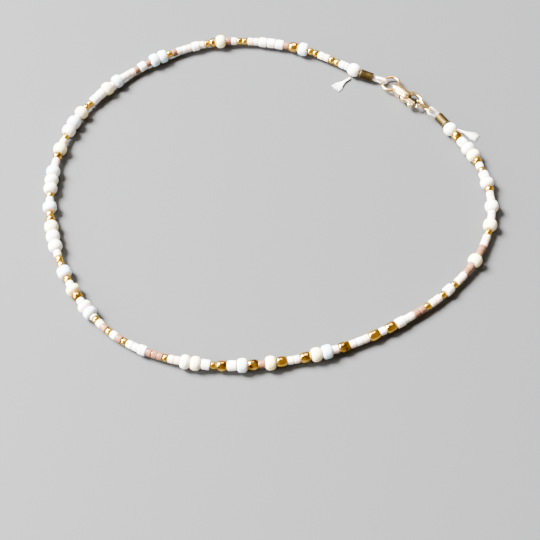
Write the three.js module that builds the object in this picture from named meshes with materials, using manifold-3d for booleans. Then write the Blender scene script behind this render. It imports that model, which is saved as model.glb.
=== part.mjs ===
// Beaded anklet with a lobster clasp, lying on a flat surface as a closed loop.
// Millimetres, +Z up. The origin is under the middle of the loop, on the surface that it lies on.
import * as THREE from "three";
import { mergeVertices } from "three/addons/utils/BufferGeometryUtils.js";
import Module from "manifold-3d";

const wasm = await Module();
wasm.setup();

// Facets round a bead, a thread or a crimp tube, round a ring's loop and round its wire
const SIDES = 10;
const RING_SIDES = 16;
const WIRE_SIDES = 6;
const FLAT_HALF_ANGLE = Math.PI / SIDES;

// Thread
const THREAD_DIAMETER = 0.5;
const BORE_CLEARANCE = 0.25;
const THREAD_END_GAP = 0.3;

// Seed beads: outer diameters and lengths along the thread
const LARGE_BEAD_DIAMETER = 2.85;
const LARGE_BEAD_LENGTH = 2.15;
const END_BEAD_LENGTH = 2.75;
const WIDE_TUBE_DIAMETER = 2.05;
const WIDE_TUBE_LENGTH = 1.8;
const SMALL_TUBE_DIAMETER = 1.6;
const SMALL_TUBE_LENGTH = 1.25;
const THIN_SPACER_LENGTH = 0.75;
const LARGE_GOLD_DIAMETER = 2.2;
const LARGE_GOLD_LENGTH = 2.15;
const SHORT_GOLD_DIAMETER = 2.0;
const SHORT_GOLD_LENGTH = 1.35;
const SMALL_GOLD_DIAMETER = 1.55;
const SMALL_GOLD_LENGTH = 1.25;
// Faces of neighbouring drilled beads stand this far apart
const BEAD_GAP = 0.14;
// A bead's end face as a share of its radius, and its rounded end as a share of its length
const FACE_SHARE = 0.7;
const ROUNDING_SHARE = 0.2;
const LARGE_ROUNDING_SHARE = 0.3;
// Small beads between two large ones hang this much lower, reached over the sag run
const SAG = 0.2;
const SAG_RUN = 3.5;

// Centre line of the beads from above, from the outer face of the end bead by the jump ring,
// round the back, the left and the front, to the outer face of the end bead by the end ring
const ROUTE = [
  [19.2, 30.7], [17.3, 32.0], [8.8, 36.6], [-2.3, 39.4], [-13.8, 38.9], [-24.4, 34.7],
  [-33.7, 27.8], [-40.9, 18.9], [-44.6, 8.1], [-45.1, -3.4], [-42.7, -14.7], [-37.7, -25.0],
  [-29.9, -33.3], [-19.4, -38.1], [-8.1, -39.6], [3.4, -38.5], [14.5, -35.4], [24.8, -30.4],
  [34.2, -23.8], [41.6, -15.0], [45.1, -4.1], [43.2, 7.1], [37.2, 16.9],
];

// Kinds of bead: key in the chart, name, sizes, and the colour of those that are drilled beads of their own
const LARGE = { diameter: LARGE_BEAD_DIAMETER, length: LARGE_BEAD_LENGTH, own: true };
const KINDS = [
  { key: "C", name: "ivory", color: 0xf1e3c8, ...LARGE },
  { key: "W", name: "white", color: 0xf7f4ee, ...LARGE },
  { key: "O", name: "opal", color: 0xdfe8ea, ...LARGE },
  { key: "R", name: "white", color: 0xf7f4ee, ...LARGE, length: END_BEAD_LENGTH },
  { key: "M", name: "wide_tube", diameter: WIDE_TUBE_DIAMETER, length: WIDE_TUBE_LENGTH },
  { key: "G", name: "large_gold", diameter: LARGE_GOLD_DIAMETER, length: LARGE_GOLD_LENGTH },
  { key: "S", name: "short_gold", diameter: SHORT_GOLD_DIAMETER, length: SHORT_GOLD_LENGTH },
  { key: "g", name: "small_gold", diameter: SMALL_GOLD_DIAMETER, length: SMALL_GOLD_LENGTH },
  { key: "w", name: "small_white", diameter: SMALL_TUBE_DIAMETER, length: SMALL_TUBE_LENGTH },
  { key: "b", name: "small_blush", diameter: SMALL_TUBE_DIAMETER, length: SMALL_TUBE_LENGTH },
  { key: "c", name: "small_cream", diameter: SMALL_TUBE_DIAMETER, length: SMALL_TUBE_LENGTH },
  { key: "d", name: "small_rose", diameter: SMALL_TUBE_DIAMETER, length: SMALL_TUBE_LENGTH },
  { key: "o", name: "thin_spacer", diameter: SMALL_TUBE_DIAMETER, length: THIN_SPACER_LENGTH },
];

// Chart of the beads along the route. Each run fills its share of the route, given by its length.
const RUNS = [
  { length: 11.4, beads: "R o w g g b w g" },
  { length: 13.5, beads: "g O G d M M M b" },
  { length: 10.8, beads: "b g g b d C S g" },
  { length: 10.7, beads: "c M b w b d g O" },
  { length: 11.7, beads: "O d M d b b w O" },
  { length: 11.8, beads: "o C M M g g C o" },
  { length: 13.1, beads: "O W g c C S b o" },
  { length: 13.4, beads: "O W W g w O g S" },
  { length: 14.8, beads: "C W W c g g O g" },
  { length: 10.8, beads: "c C G w W O o g" },
  { length: 10.1, beads: "c d g w d g w w" },
  { length: 10.5, beads: "M d d d g c b W" },
  { length: 14.4, beads: "C M g G M O G d" },
  { length: 14.5, beads: "C G w b G C O b" },
  { length: 14.5, beads: "G b w b G w G M" },
  { length: 10.3, beads: "o b d d g c b g" },
  { length: 12.2, beads: "M g c b d d C d" },
  { length: 12.3, beads: "d b b g C b o W" },
  { length: 10.9, beads: "b b S W M g w S" },
  { length: 10.3, beads: "C W M G R" },
];

// Closure: crimp tubes, thread loops, jump ring and end ring
const CRIMP_DIAMETER = 2.0;
const CRIMP_LENGTH = 2.9;
const CRIMP_BORE_CLEARANCE = 0.1;
const CRIMP_EDGE = 0.15;
const CRIMP_RISE = 0.05;
const CRIMP_BEARING_BY_JUMP_RING = -19;
const CRIMP_BEARING_BY_END_RING = 121;
// How far the string's thread and the loops' legs reach into a crimp tube, as shares of its length
const STRING_INSERTION_SHARE = 0.45;
const LOOP_INSERTION_SHARE = 0.4;
const STRAND_SPACING = 0.56;
const LOOP_EYE_RADIUS = 0.62;
// What the second thread loop and the bends between the links take of the gap between the crimp tubes
const CLOSURE_TAKE_UP = 0.42;
const JUMP_RING_DIAMETER = 4.3;
const JUMP_RING_WIRE = 0.6;
const END_RING_DIAMETER = 4.3;
const END_RING_WIRE = 0.5;
const JUMP_RING_BEARING = -28;
const JUMP_RING_TO_CLASP_BEARING = -56;
const END_RING_LEAN = 22;
const END_RING_OFFSET = 0.35;
const LINK_CLEARANCE = 0.15;

// Lobster clasp, along u from the tail eye to the hook, v to its left and w up
const CLASP_BEARING = -44.5;
const BARREL_WIDTH = 2.4;
const BARREL_HEIGHT = 2.5;
const BARREL_LENGTH = 4.5;
const BARREL_TAIL = 0.85;
const BARREL_SHOULDER = 0.25;
const BARREL_SIDES = 12;
// Power of the barrel's section: 1 is an ellipse, less is squarer
const BARREL_SQUARENESS = 0.72;
const TAIL_WIDTH = 1.8;
const EYE_HEIGHT = 1.3;
const EYE_CLEARANCE = 0.16;
const HOOK_HEIGHT = 1.45;
const HOOK_WIRE = 0.7;
const HOOK_ROOT_THICKNESS = 1.15;
const HOOK_REACH = 6.68;
const HOOK_SPREAD = 1.85;
const PIVOT_U = 3.0;
const PIVOT_V = -0.65;
const PIN_DIAMETER = 0.6;
const PIN_CLEARANCE = 0.2;
const PIN_SEAT_DEPTH = 0.2;
const LEVER_THICKNESS = 0.9;
const LEVER_SIDE_CLEARANCE = 0.3;
const LEVER_LENGTH = 2.65;
const LEVER_HUB_DIAMETER = 1.7;
const LEVER_ARM_WIDTH = 0.7;
const LEVER_TIP_WIDTH = 0.44;
const LEVER_TIP_RISE = 0.25;
const THUMB_KNOB_DIAMETER = 1.25;
const THUMB_KNOB_REACH = 1.75;
const THUMB_KNOB_DROP = 0.45;
const ARM_UNDER_KNOB = 0.15;
// Hook's places along the clasp and to its left, as shares of its reach and spread, with the shares
// of the wire's width and of the root's thickness there
const HOOK_SECTIONS = [
  { u: 0.36, v: 0.38, width: 0.9, thick: 1 },
  { u: 0.5, v: 0.78, width: 1.1, thick: 1 },
  { u: 0.66, v: 1, width: 1.1, thick: 0.9 },
  { u: 0.82, v: 0.93, width: 1.05, thick: 0.75 },
  { u: 0.94, v: 0.66, width: 1, thick: 0.65 },
  { u: 1, v: 0.24, width: 1, thick: 0.61 },
  { u: 0.985, v: -0.14, width: 0.95, thick: 0.6 },
  { u: 0.945, v: -0.36, width: 0.8, thick: 0.52 },
];

// Frayed thread tails beside the end beads
const TAIL_LENGTH_BY_JUMP_RING = 4.4;
const TAIL_LENGTH_BY_END_RING = 5.2;
const TAIL_BEARING_BY_JUMP_RING = -139;
const TAIL_BEARING_BY_END_RING = -25;
const TAIL_FAN_WIDTH = 1.9;
const TAIL_CLEARANCE = 0.2;
const TAIL_SECTIONS = [
  { at: 0, spread: 0.26, thick: 1 },
  { at: 0.35, spread: 0.3, thick: 1 },
  { at: 0.7, spread: 0.55, thick: 0.9 },
  { at: 0.93, spread: 0.95, thick: 0.7 },
  { at: 1, spread: 1, thick: 0.6 },
];

// Room under what almost touches the surface
const SURFACE_GAP = 0.03;

// Half the length of thread that gives its direction at a place, and pieces of a thread loop
const DIRECTION_STEP = 0.05;
const LOOP_STEPS = 16;

const UP = new THREE.Vector3(0, 0, 1);
const MATERIALS = {
  thread: { color: 0xece8e0, roughness: 0.8, metalness: 0 },
  smallBeads: { color: 0xdcc7b4, roughness: 0.35, metalness: 0.1 },
  gold: { color: 0xd9a54a, roughness: 0.2, metalness: 1 },
  bronze: { color: 0x7a5a26, roughness: 0.35, metalness: 1 },
};

const radians = THREE.MathUtils.degToRad;

/** Unit vector in the surface's plane at a bearing in degrees from +X. */
function bearing(degrees) {
  return new THREE.Vector3(Math.cos(radians(degrees)), Math.sin(radians(degrees)), 0);
}

/** Half the height of a ten-sided round, flat side down. */
function flatRadius(diameter) {
  return (diameter / 2) * Math.cos(FLAT_HALF_ANGLE);
}

/** Closed body through rings of points, all rings with as many points, turning the same way. */
function loft(rings) {
  const count = rings[0].length;
  const points = rings.flat();
  const triangles = [];
  for (let i = 0; i + 1 < rings.length; i += 1) {
    for (let k = 0; k < count; k += 1) {
      const a = i * count + k;
      const b = i * count + ((k + 1) % count);
      triangles.push(a, b, b + count, a, b + count, a + count);
    }
  }
  const last = (rings.length - 1) * count;
  for (let k = 1; k + 1 < count; k += 1) {
    triangles.push(0, k + 1, k, last, last + k, last + k + 1);
  }
  const geometry = new THREE.BufferGeometry();
  const values = points.flatMap((point) => [point.x, point.y, point.z]);
  geometry.setAttribute("position", new THREE.Float32BufferAttribute(values, 3));
  geometry.setIndex(triangles);
  return geometry;
}

/** Ring of points round a centre, across a direction, with half sizes to the side and upward. */
function ringOfPoints(centre, direction, upward, halfSide, halfUp, sides = SIDES) {
  const tangent = direction.clone().normalize();
  const up = upward.clone().addScaledVector(tangent, -upward.dot(tangent)).normalize();
  const side = up.clone().cross(tangent);
  const ring = [];
  for (let k = 0; k < sides; k += 1) {
    const angle = (2 * Math.PI * k) / sides;
    ring.push(
      centre.clone()
        .addScaledVector(side, halfSide * Math.cos(angle))
        .addScaledVector(up, halfUp * Math.sin(angle)),
    );
  }
  return ring;
}

/** Manifold solid of a closed geometry. */
function solid(geometry) {
  const bare = geometry.clone();
  bare.deleteAttribute("normal");
  bare.deleteAttribute("uv");
  const merged = mergeVertices(bare, 1e-5);
  return new wasm.Manifold(new wasm.Mesh({
    numProp: 3,
    vertProperties: new Float32Array(merged.attributes.position.array),
    triVerts: new Uint32Array(merged.index.array),
  }));
}

/** Geometry of a manifold solid. */
function geometryOf(manifold) {
  const mesh = manifold.getMesh();
  const geometry = new THREE.BufferGeometry();
  geometry.setAttribute("position", new THREE.Float32BufferAttribute([...mesh.vertProperties], 3));
  geometry.setIndex(Array.from(mesh.triVerts));
  return geometry;
}

/** Mesh of one sub-part. */
function part(name, geometry, finish) {
  const mesh = new THREE.Mesh(geometry, new THREE.MeshStandardMaterial(finish));
  mesh.name = name;
  return mesh;
}

// Places along the string

const beadHeight = flatRadius(LARGE_BEAD_DIAMETER);
const routeCurve = new THREE.CatmullRomCurve3(
  ROUTE.map(([x, y]) => new THREE.Vector3(x, y, beadHeight)), false, "centripetal",
);
routeCurve.arcLengthDivisions = 4000;
const routeLength = routeCurve.getLength();
const kindOf = Object.fromEntries(KINDS.map((kind) => [kind.key, kind]));

/** Each bead's kind with its start and end along the route, in order. */
function placeBeads() {
  const fill = routeLength / RUNS.reduce((sum, run) => sum + run.length, 0);
  const beads = [];
  let at = 0;
  for (const run of RUNS) {
    const kinds = run.beads.split(" ").map((key) => kindOf[key]);
    const nominal = kinds.reduce((sum, kind) => sum + kind.length, 0);
    for (const kind of kinds) {
      const length = (kind.length * run.length * fill) / nominal;
      beads.push({ kind, start: at, end: at + length });
      at += length;
    }
  }
  return beads;
}

const beads = placeBeads();
const ownBeads = beads.filter((bead) => bead.kind.own);

/** How far the thread hangs below the large beads' axis at a place along the route. */
function dipAt(at) {
  const clear = Math.min(...ownBeads.map((bead) => Math.max(bead.start - at, at - bead.end, 0)));
  return SAG * THREE.MathUtils.smoothstep(clear, 0, SAG_RUN);
}

const boreDiameter = THREAD_DIAMETER + 2 * BORE_CLEARANCE;
const crimpBore = STRAND_SPACING + THREAD_DIAMETER + 2 * CRIMP_BORE_CLEARANCE;
const crimpHeight = CRIMP_DIAMETER / 2 + CRIMP_RISE;

/** Crimp tube's frame: its mouth toward the beads, its axis away from them and its far end. */
function crimpFrame(mouth, degrees) {
  const start = mouth.clone();
  const fall = (crimpHeight - start.z) / CRIMP_LENGTH;
  const axis = bearing(degrees).setZ(fall).normalize();
  start.addScaledVector(axis, BEAD_GAP);
  return { start, axis, end: start.clone().addScaledVector(axis, CRIMP_LENGTH) };
}

const firstEnd = routeCurve.getPointAt(0);
const lastEnd = routeCurve.getPointAt(1);
const firstCrimp = crimpFrame(firstEnd, CRIMP_BEARING_BY_JUMP_RING);
const lastCrimp = crimpFrame(lastEnd, CRIMP_BEARING_BY_END_RING);

/** Point of the thread's centre line; before and after the route it runs into the crimp tubes. */
function threadPoint(at) {
  if (at < 0) return firstEnd.clone().addScaledVector(firstCrimp.axis, -at);
  if (at > routeLength) return lastEnd.clone().addScaledVector(lastCrimp.axis, at - routeLength);
  return routeCurve.getPointAt(at / routeLength).setZ(beadHeight - dipAt(at));
}

/** Direction of the thread at a place along it. */
function threadDirection(at) {
  return threadPoint(at + DIRECTION_STEP).sub(threadPoint(at - DIRECTION_STEP)).normalize();
}

/** One half of the string: its thread between two places with the small beads on it. */
function stringHalf(from, to) {
  const threadRadius = THREAD_DIAMETER / 2;
  const sections = [[from, threadRadius]];
  beads.forEach((bead, index) => {
    if (bead.start < from - 1e-6 || bead.end > to + 1e-6) return;
    if (bead.kind.own) {
      sections.push([(bead.start + bead.end) / 2, threadRadius]);
      return;
    }
    const radius = bead.kind.diameter / 2;
    const before = beads[index - 1].kind;
    const after = beads[index + 1].kind;
    const rounding = (bead.end - bead.start) * ROUNDING_SHARE;
    if (before.own) {
      sections.push([bead.start, threadRadius], [bead.start, radius * FACE_SHARE]);
    }
    sections.push([bead.start + rounding, radius], [bead.end - rounding, radius]);
    if (after.own) {
      sections.push([bead.end, radius * FACE_SHARE], [bead.end, threadRadius]);
    } else {
      sections.push([bead.end, (Math.min(radius, after.diameter / 2)) * FACE_SHARE]);
    }
  });
  sections.push([to, threadRadius]);
  return loft(sections.map(([at, radius]) => (
    ringOfPoints(threadPoint(at), threadDirection(at), UP, radius, radius)
  )));
}

/** Ring turned about its axis: a profile of [radius, height] pairs that closes on itself. */
function turned(profile) {
  const points = [...profile, profile[0]].map(([radius, height]) => new THREE.Vector2(radius, height));
  return new THREE.LatheGeometry(points, SIDES);
}

/** Turned mesh placed with its axis along a direction, one flat side down. */
function alongThread(mesh, centre, direction) {
  const tangent = direction.clone().normalize();
  const side = UP.clone().cross(tangent).normalize();
  const up = tangent.clone().cross(side);
  mesh.quaternion.setFromRotationMatrix(new THREE.Matrix4().makeBasis(up, tangent, side));
  mesh.position.copy(centre);
  return mesh;
}

/** Large round seed bead, drilled for the thread. */
function largeBead(bead, number) {
  const radius = bead.kind.diameter / 2;
  const half = (bead.end - bead.start - BEAD_GAP) / 2;
  const shoulder = half * (1 - 2 * LARGE_ROUNDING_SHARE);
  const bore = boreDiameter / 2;
  const geometry = turned([
    [bore, -half], [radius * FACE_SHARE, -half], [radius, -shoulder],
    [radius, shoulder], [radius * FACE_SHARE, half], [bore, half],
  ]);
  const name = `bead_${String(number).padStart(2, "0")}_${bead.kind.name}`;
  const middle = (bead.start + bead.end) / 2;
  const mesh = part(name, geometry, { color: bead.kind.color, roughness: 0.25, metalness: 0 });
  return alongThread(mesh, threadPoint(middle), threadDirection(middle));
}

/** Crimp tube with bevelled ends. */
function crimpTube(name, frame) {
  const outer = CRIMP_DIAMETER / 2;
  const bore = crimpBore / 2;
  const half = CRIMP_LENGTH / 2;
  const geometry = turned([
    [bore, -half], [outer - CRIMP_EDGE, -half], [outer, -half + CRIMP_EDGE],
    [outer, half - CRIMP_EDGE], [outer - CRIMP_EDGE, half], [bore, half],
  ]);
  const centre = frame.start.clone().addScaledVector(frame.axis, half);
  return alongThread(part(name, geometry, MATERIALS.bronze), centre, frame.axis);
}

/** Doubled thread from a crimp tube round a ring's wire, as one bent strand. */
function threadLoop(name, crimp, eye, side) {
  const forward = eye.clone().sub(crimp.end).normalize();
  const across = side.clone().addScaledVector(forward, -side.dot(forward)).normalize();
  const leg = (sign) => [
    crimp.end.clone().addScaledVector(crimp.axis, -CRIMP_LENGTH * LOOP_INSERTION_SHARE)
      .addScaledVector(across, (sign * STRAND_SPACING) / 2),
    crimp.end.clone().addScaledVector(across, (sign * STRAND_SPACING) / 2),
  ];
  const turn = [100, 50, 0, -50, -100].map((degrees) => (
    eye.clone()
      .addScaledVector(forward, LOOP_EYE_RADIUS * Math.cos(radians(degrees)))
      .addScaledVector(across, LOOP_EYE_RADIUS * Math.sin(radians(degrees)))
  ));
  const path = new THREE.CatmullRomCurve3([...leg(1), ...turn, ...leg(-1).reverse()], false, "centripetal");
  const normal = forward.clone().cross(across);
  const radius = THREAD_DIAMETER / 2;
  const rings = [];
  for (let i = 0; i <= LOOP_STEPS; i += 1) {
    const share = i / LOOP_STEPS;
    rings.push(ringOfPoints(
      path.getPointAt(share), path.getTangentAt(share), normal, radius, radius, WIRE_SIDES,
    ));
  }
  return part(name, loft(rings), MATERIALS.thread);
}

// Rings and clasp, placed one after the other from the first crimp tube

const jumpRingRadius = (JUMP_RING_DIAMETER - JUMP_RING_WIRE) / 2;
const endRingRadius = (END_RING_DIAMETER - END_RING_WIRE) / 2;
// The loop's lower strand lies on the surface, under the ring's wire
const loopHeight = LOOP_EYE_RADIUS + THREAD_DIAMETER / 2 + SURFACE_GAP;
const loopAhead = LOOP_EYE_RADIUS - (THREAD_DIAMETER + JUMP_RING_WIRE) / 2 - LINK_CLEARANCE;
// The first thread loop takes up what the links leave of the gap between the crimp tubes
const firstLoopLength = firstCrimp.end.distanceTo(lastCrimp.end)
  - 2 * jumpRingRadius - HOOK_REACH - 2 * endRingRadius - CLOSURE_TAKE_UP;
const firstEye = firstCrimp.end.clone()
  .addScaledVector(bearing(CRIMP_BEARING_BY_JUMP_RING), firstLoopLength).setZ(loopHeight);
const wireInLoop = firstEye.clone()
  .addScaledVector(bearing(CRIMP_BEARING_BY_JUMP_RING), loopAhead);
const jumpRingCentre = wireInLoop.clone()
  .addScaledVector(bearing(JUMP_RING_BEARING), jumpRingRadius)
  .setZ((loopHeight + EYE_HEIGHT) / 2);
const tailEye = jumpRingCentre.clone()
  .addScaledVector(bearing(JUMP_RING_TO_CLASP_BEARING), jumpRingRadius).setZ(EYE_HEIGHT);

/** Point of the clasp's frame, u along it, v to its left, w up from the surface. */
function claspPoint(u, v, w) {
  const along = bearing(CLASP_BEARING);
  const left = bearing(CLASP_BEARING + 90);
  return new THREE.Vector3(tailEye.x, tailEye.y, w).addScaledVector(along, u).addScaledVector(left, v);
}

/** Jump ring from the thread loop, at its far side, to the clasp's tail eye. */
function jumpRing() {
  const geometry = new THREE.TorusGeometry(jumpRingRadius, JUMP_RING_WIRE / 2, WIRE_SIDES, RING_SIDES);
  const mesh = part("jump_ring", geometry, MATERIALS.gold);
  const across = tailEye.clone().sub(wireInLoop).normalize();
  const side = UP.clone().cross(across).normalize();
  mesh.quaternion.setFromRotationMatrix(
    new THREE.Matrix4().makeBasis(across, side, across.clone().cross(side)),
  );
  mesh.position.copy(jumpRingCentre);
  return mesh;
}

// The end ring stands on the surface, leaning, with its wire in the hook's bend
const lean = radians(END_RING_LEAN);
const endRingUp = new THREE.Vector3(0, 0, Math.cos(lean))
  .addScaledVector(bearing(CLASP_BEARING + 90), -Math.sin(lean));
const endRingHeight = endRingRadius * Math.cos(lean) + END_RING_WIRE / 2 + SURFACE_GAP;
const endRingU = HOOK_REACH - HOOK_WIRE / 2 - END_RING_WIRE / 2 - LINK_CLEARANCE
  + Math.sqrt(endRingRadius ** 2 - ((endRingHeight - HOOK_HEIGHT) / Math.cos(lean)) ** 2);
const endRingCentre = claspPoint(endRingU, END_RING_OFFSET, endRingHeight);

/** Ring that the hook holds. */
function endRing() {
  const geometry = new THREE.TorusGeometry(endRingRadius, END_RING_WIRE / 2, WIRE_SIDES, RING_SIDES);
  const mesh = part("end_ring", geometry, MATERIALS.gold);
  const along = bearing(CLASP_BEARING);
  mesh.quaternion.setFromRotationMatrix(
    new THREE.Matrix4().makeBasis(along, endRingUp, along.clone().cross(endRingUp)),
  );
  mesh.position.copy(endRingCentre);
  return mesh;
}

/** Solid across the clasp, from one height to another, round a point of it. */
function upright(u, v, diameter, low, high, sides = 12) {
  const geometry = new THREE.CylinderGeometry(diameter / 2, diameter / 2, high - low, sides);
  geometry.rotateX(Math.PI / 2);
  geometry.translate(u, v, (low + high) / 2);
  return solid(geometry);
}

/** Box of the clasp's frame between two corners. */
function block(low, high) {
  const size = high.map((value, axis) => value - low[axis]);
  const geometry = new THREE.BoxGeometry(...size);
  geometry.translate(...low.map((value, axis) => value + size[axis] / 2));
  return solid(geometry);
}

/** Barrel of the clasp, rounded, with a flat underside. */
function barrel() {
  const power = (value) => Math.sign(value) * Math.abs(value) ** BARREL_SQUARENESS;
  const flat = power(Math.cos(Math.PI / BARREL_SIDES));
  const table = [
    { u: -BARREL_TAIL, width: TAIL_WIDTH * 0.5, height: 0.55 },
    { u: -BARREL_TAIL + BARREL_SHOULDER, width: TAIL_WIDTH * 0.85, height: 0.82 },
    { u: 0, width: TAIL_WIDTH, height: 0.94 },
    { u: BARREL_TAIL, width: BARREL_WIDTH, height: 1 },
    { u: BARREL_LENGTH - BARREL_TAIL - BARREL_SHOULDER, width: BARREL_WIDTH, height: 1 },
    { u: BARREL_LENGTH - BARREL_TAIL, width: BARREL_WIDTH * 0.85, height: 0.88 },
  ];
  const rings = table.map(({ u, width, height }) => {
    const ring = [];
    for (let k = 0; k < BARREL_SIDES; k += 1) {
      const angle = (2 * Math.PI * (k + 0.5)) / BARREL_SIDES;
      ring.push(new THREE.Vector3(
        u, (width / 2) * power(Math.cos(angle)),
        (BARREL_HEIGHT / 2) * (1 + (height / flat) * power(Math.sin(angle))),
      ));
    }
    return ring;
  });
  return solid(loft(rings));
}

/** Hook of the clasp, bent in the plane of the surface. */
function hook() {
  const path = new THREE.CatmullRomCurve3(HOOK_SECTIONS.map(({ u, v }) => (
    new THREE.Vector3(u * HOOK_REACH, v * HOOK_SPREAD, HOOK_HEIGHT)
  )));
  const rings = HOOK_SECTIONS.map(({ width, thick }, index) => {
    const share = index / (HOOK_SECTIONS.length - 1);
    return ringOfPoints(
      path.getPoint(share), path.getTangent(share), UP,
      (HOOK_WIRE * width) / 2, (HOOK_ROOT_THICKNESS * thick) / 2, 8,
    );
  });
  return solid(loft(rings));
}

/** Clasp body: barrel, hook and lever pin in one piece, with the tail eye and the lever's slot. */
function claspBody() {
  const eyeWidth = JUMP_RING_WIRE + 2 * EYE_CLEARANCE;
  const halfTail = TAIL_WIDTH / 2;
  const bow = jumpRingRadius - Math.sqrt(jumpRingRadius ** 2 - halfTail ** 2);
  const eye = new THREE.CylinderGeometry(eyeWidth / 2, eyeWidth / 2, 2 * BARREL_WIDTH, 12);
  eye.scale((eyeWidth + bow) / eyeWidth, 1, 1);
  eye.translate(-bow / 2, 0, EYE_HEIGHT);
  const half = LEVER_THICKNESS / 2 + LEVER_SIDE_CLEARANCE;
  const slotInner = PIVOT_V + LEVER_HUB_DIAMETER / 2 + LEVER_SIDE_CLEARANCE;
  const slotBack = PIVOT_U - LEVER_HUB_DIAMETER / 2 - LEVER_SIDE_CLEARANCE;
  const slot = block(
    [slotBack, -BARREL_WIDTH, HOOK_HEIGHT - half], [BARREL_LENGTH, slotInner, HOOK_HEIGHT + half],
  );
  const pinHalf = half + PIN_SEAT_DEPTH;
  const pin = upright(PIVOT_U, PIVOT_V, PIN_DIAMETER, HOOK_HEIGHT - pinHalf, HOOK_HEIGHT + pinHalf);
  return barrel().add(hook()).subtract(solid(eye)).subtract(slot).add(pin);
}

/** Lever of the clasp about its pin: hub, arm and thumb knob in one piece. */
function claspLever() {
  const low = HOOK_HEIGHT - LEVER_THICKNESS / 2;
  const high = HOOK_HEIGHT + LEVER_THICKNESS / 2;
  const outline = new THREE.Shape();
  outline.moveTo(0, LEVER_ARM_WIDTH / 2);
  outline.lineTo(0, -LEVER_ARM_WIDTH / 2);
  outline.lineTo(THUMB_KNOB_REACH, -THUMB_KNOB_DROP - ARM_UNDER_KNOB);
  outline.lineTo(LEVER_LENGTH, LEVER_TIP_RISE - LEVER_TIP_WIDTH / 2);
  outline.lineTo(LEVER_LENGTH, LEVER_TIP_RISE + LEVER_TIP_WIDTH / 2);
  outline.closePath();
  const arm = new THREE.ExtrudeGeometry(outline, { depth: high - low, bevelEnabled: false });
  arm.translate(PIVOT_U, PIVOT_V, low);
  return upright(PIVOT_U, PIVOT_V, LEVER_HUB_DIAMETER, low, high, 14)
    .add(solid(arm))
    .add(upright(PIVOT_U + THUMB_KNOB_REACH, PIVOT_V - THUMB_KNOB_DROP, THUMB_KNOB_DIAMETER, low, high, 12))
    .subtract(upright(PIVOT_U, PIVOT_V, PIN_DIAMETER + 2 * PIN_CLEARANCE, low - 1, high + 1));
}

/** Piece of the clasp, turned into place. */
function claspPart(name, manifold) {
  const mesh = part(name, geometryOf(manifold), MATERIALS.gold);
  mesh.position.copy(claspPoint(0, 0, 0));
  mesh.rotation.z = radians(CLASP_BEARING);
  return mesh;
}

/** Frayed end of the thread, fanned out on the surface beside an end bead. */
function threadTail(name, at, sign, length, degrees) {
  const rootHeight = THREAD_DIAMETER / 2 + SURFACE_GAP;
  const beadReach = Math.sqrt(
    (LARGE_BEAD_DIAMETER / 2) ** 2 - (beadHeight - rootHeight - THREAD_DIAMETER / 2) ** 2,
  );
  const across = UP.clone().cross(threadDirection(at)).normalize().multiplyScalar(sign);
  const root = threadPoint(at).setZ(rootHeight)
    .addScaledVector(across, beadReach + THREAD_DIAMETER / 2 + TAIL_CLEARANCE);
  const rings = TAIL_SECTIONS.map(({ at: share, spread, thick }) => ringOfPoints(
    root.clone().addScaledVector(bearing(degrees), share * length), bearing(degrees), UP,
    (TAIL_FAN_WIDTH / 2) * spread, (THREAD_DIAMETER / 2) * thick, 8,
  ));
  return part(name, loft(rings), MATERIALS.thread);
}

/** The whole anklet. */
function buildAnklet() {
  const group = new THREE.Group();
  ownBeads.forEach((bead, index) => group.add(largeBead(bead, index + 1)));
  const offMiddle = (bead) => Math.abs(bead.start + bead.end - routeLength);
  const middle = ownBeads.reduce((best, bead) => (offMiddle(bead) < offMiddle(best) ? bead : best));
  const meeting = (middle.start + middle.end) / 2;
  const reach = BEAD_GAP + CRIMP_LENGTH * STRING_INSERTION_SHARE;
  const halfGap = THREAD_END_GAP / 2;
  const first = stringHalf(-reach, meeting - halfGap);
  const second = stringHalf(meeting + halfGap, routeLength + reach);
  group.add(part("string_first_half", first, MATERIALS.smallBeads));
  group.add(part("string_second_half", second, MATERIALS.smallBeads));
  group.add(crimpTube("crimp_tube_first", firstCrimp));
  group.add(crimpTube("crimp_tube_last", lastCrimp));
  group.add(threadLoop("thread_loop_first", firstCrimp, firstEye, UP));
  const lastEye = endRingCentre.clone().addScaledVector(bearing(CLASP_BEARING), endRingRadius);
  const pull = LOOP_EYE_RADIUS - (THREAD_DIAMETER + END_RING_WIRE) / 2 - LINK_CLEARANCE;
  lastEye.addScaledVector(lastCrimp.end.clone().sub(lastEye).normalize(), pull);
  group.add(threadLoop("thread_loop_last", lastCrimp, lastEye, bearing(CRIMP_BEARING_BY_END_RING + 90)));
  group.add(jumpRing());
  group.add(endRing());
  group.add(claspPart("clasp_body", claspBody()));
  group.add(claspPart("clasp_lever", claspLever()));
  group.add(threadTail("thread_tail_first", (ownBeads[0].start + ownBeads[0].end) / 2, 1,
    TAIL_LENGTH_BY_JUMP_RING, TAIL_BEARING_BY_JUMP_RING));
  const endBead = ownBeads[ownBeads.length - 1];
  group.add(threadTail("thread_tail_last", (endBead.start + endBead.end) / 2, -1,
    TAIL_LENGTH_BY_END_RING, TAIL_BEARING_BY_END_RING));
  return group;
}

const anklet = buildAnklet();
// The origin is under the middle of the loop
anklet.updateMatrixWorld(true);
const box = new THREE.Box3().setFromObject(anklet, true);
anklet.position.set(-(box.min.x + box.max.x) / 2, -(box.min.y + box.max.y) / 2, -box.min.z);
anklet.updateMatrixWorld(true);

export default anklet;
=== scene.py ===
"""Looks of a beaded anklet with a lobster clasp, lying on a pale surface as a closed loop."""

import logging
import math
import random
from collections.abc import Callable, Sequence
from dataclasses import dataclass, field
from enum import Enum
from typing import ClassVar

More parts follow.
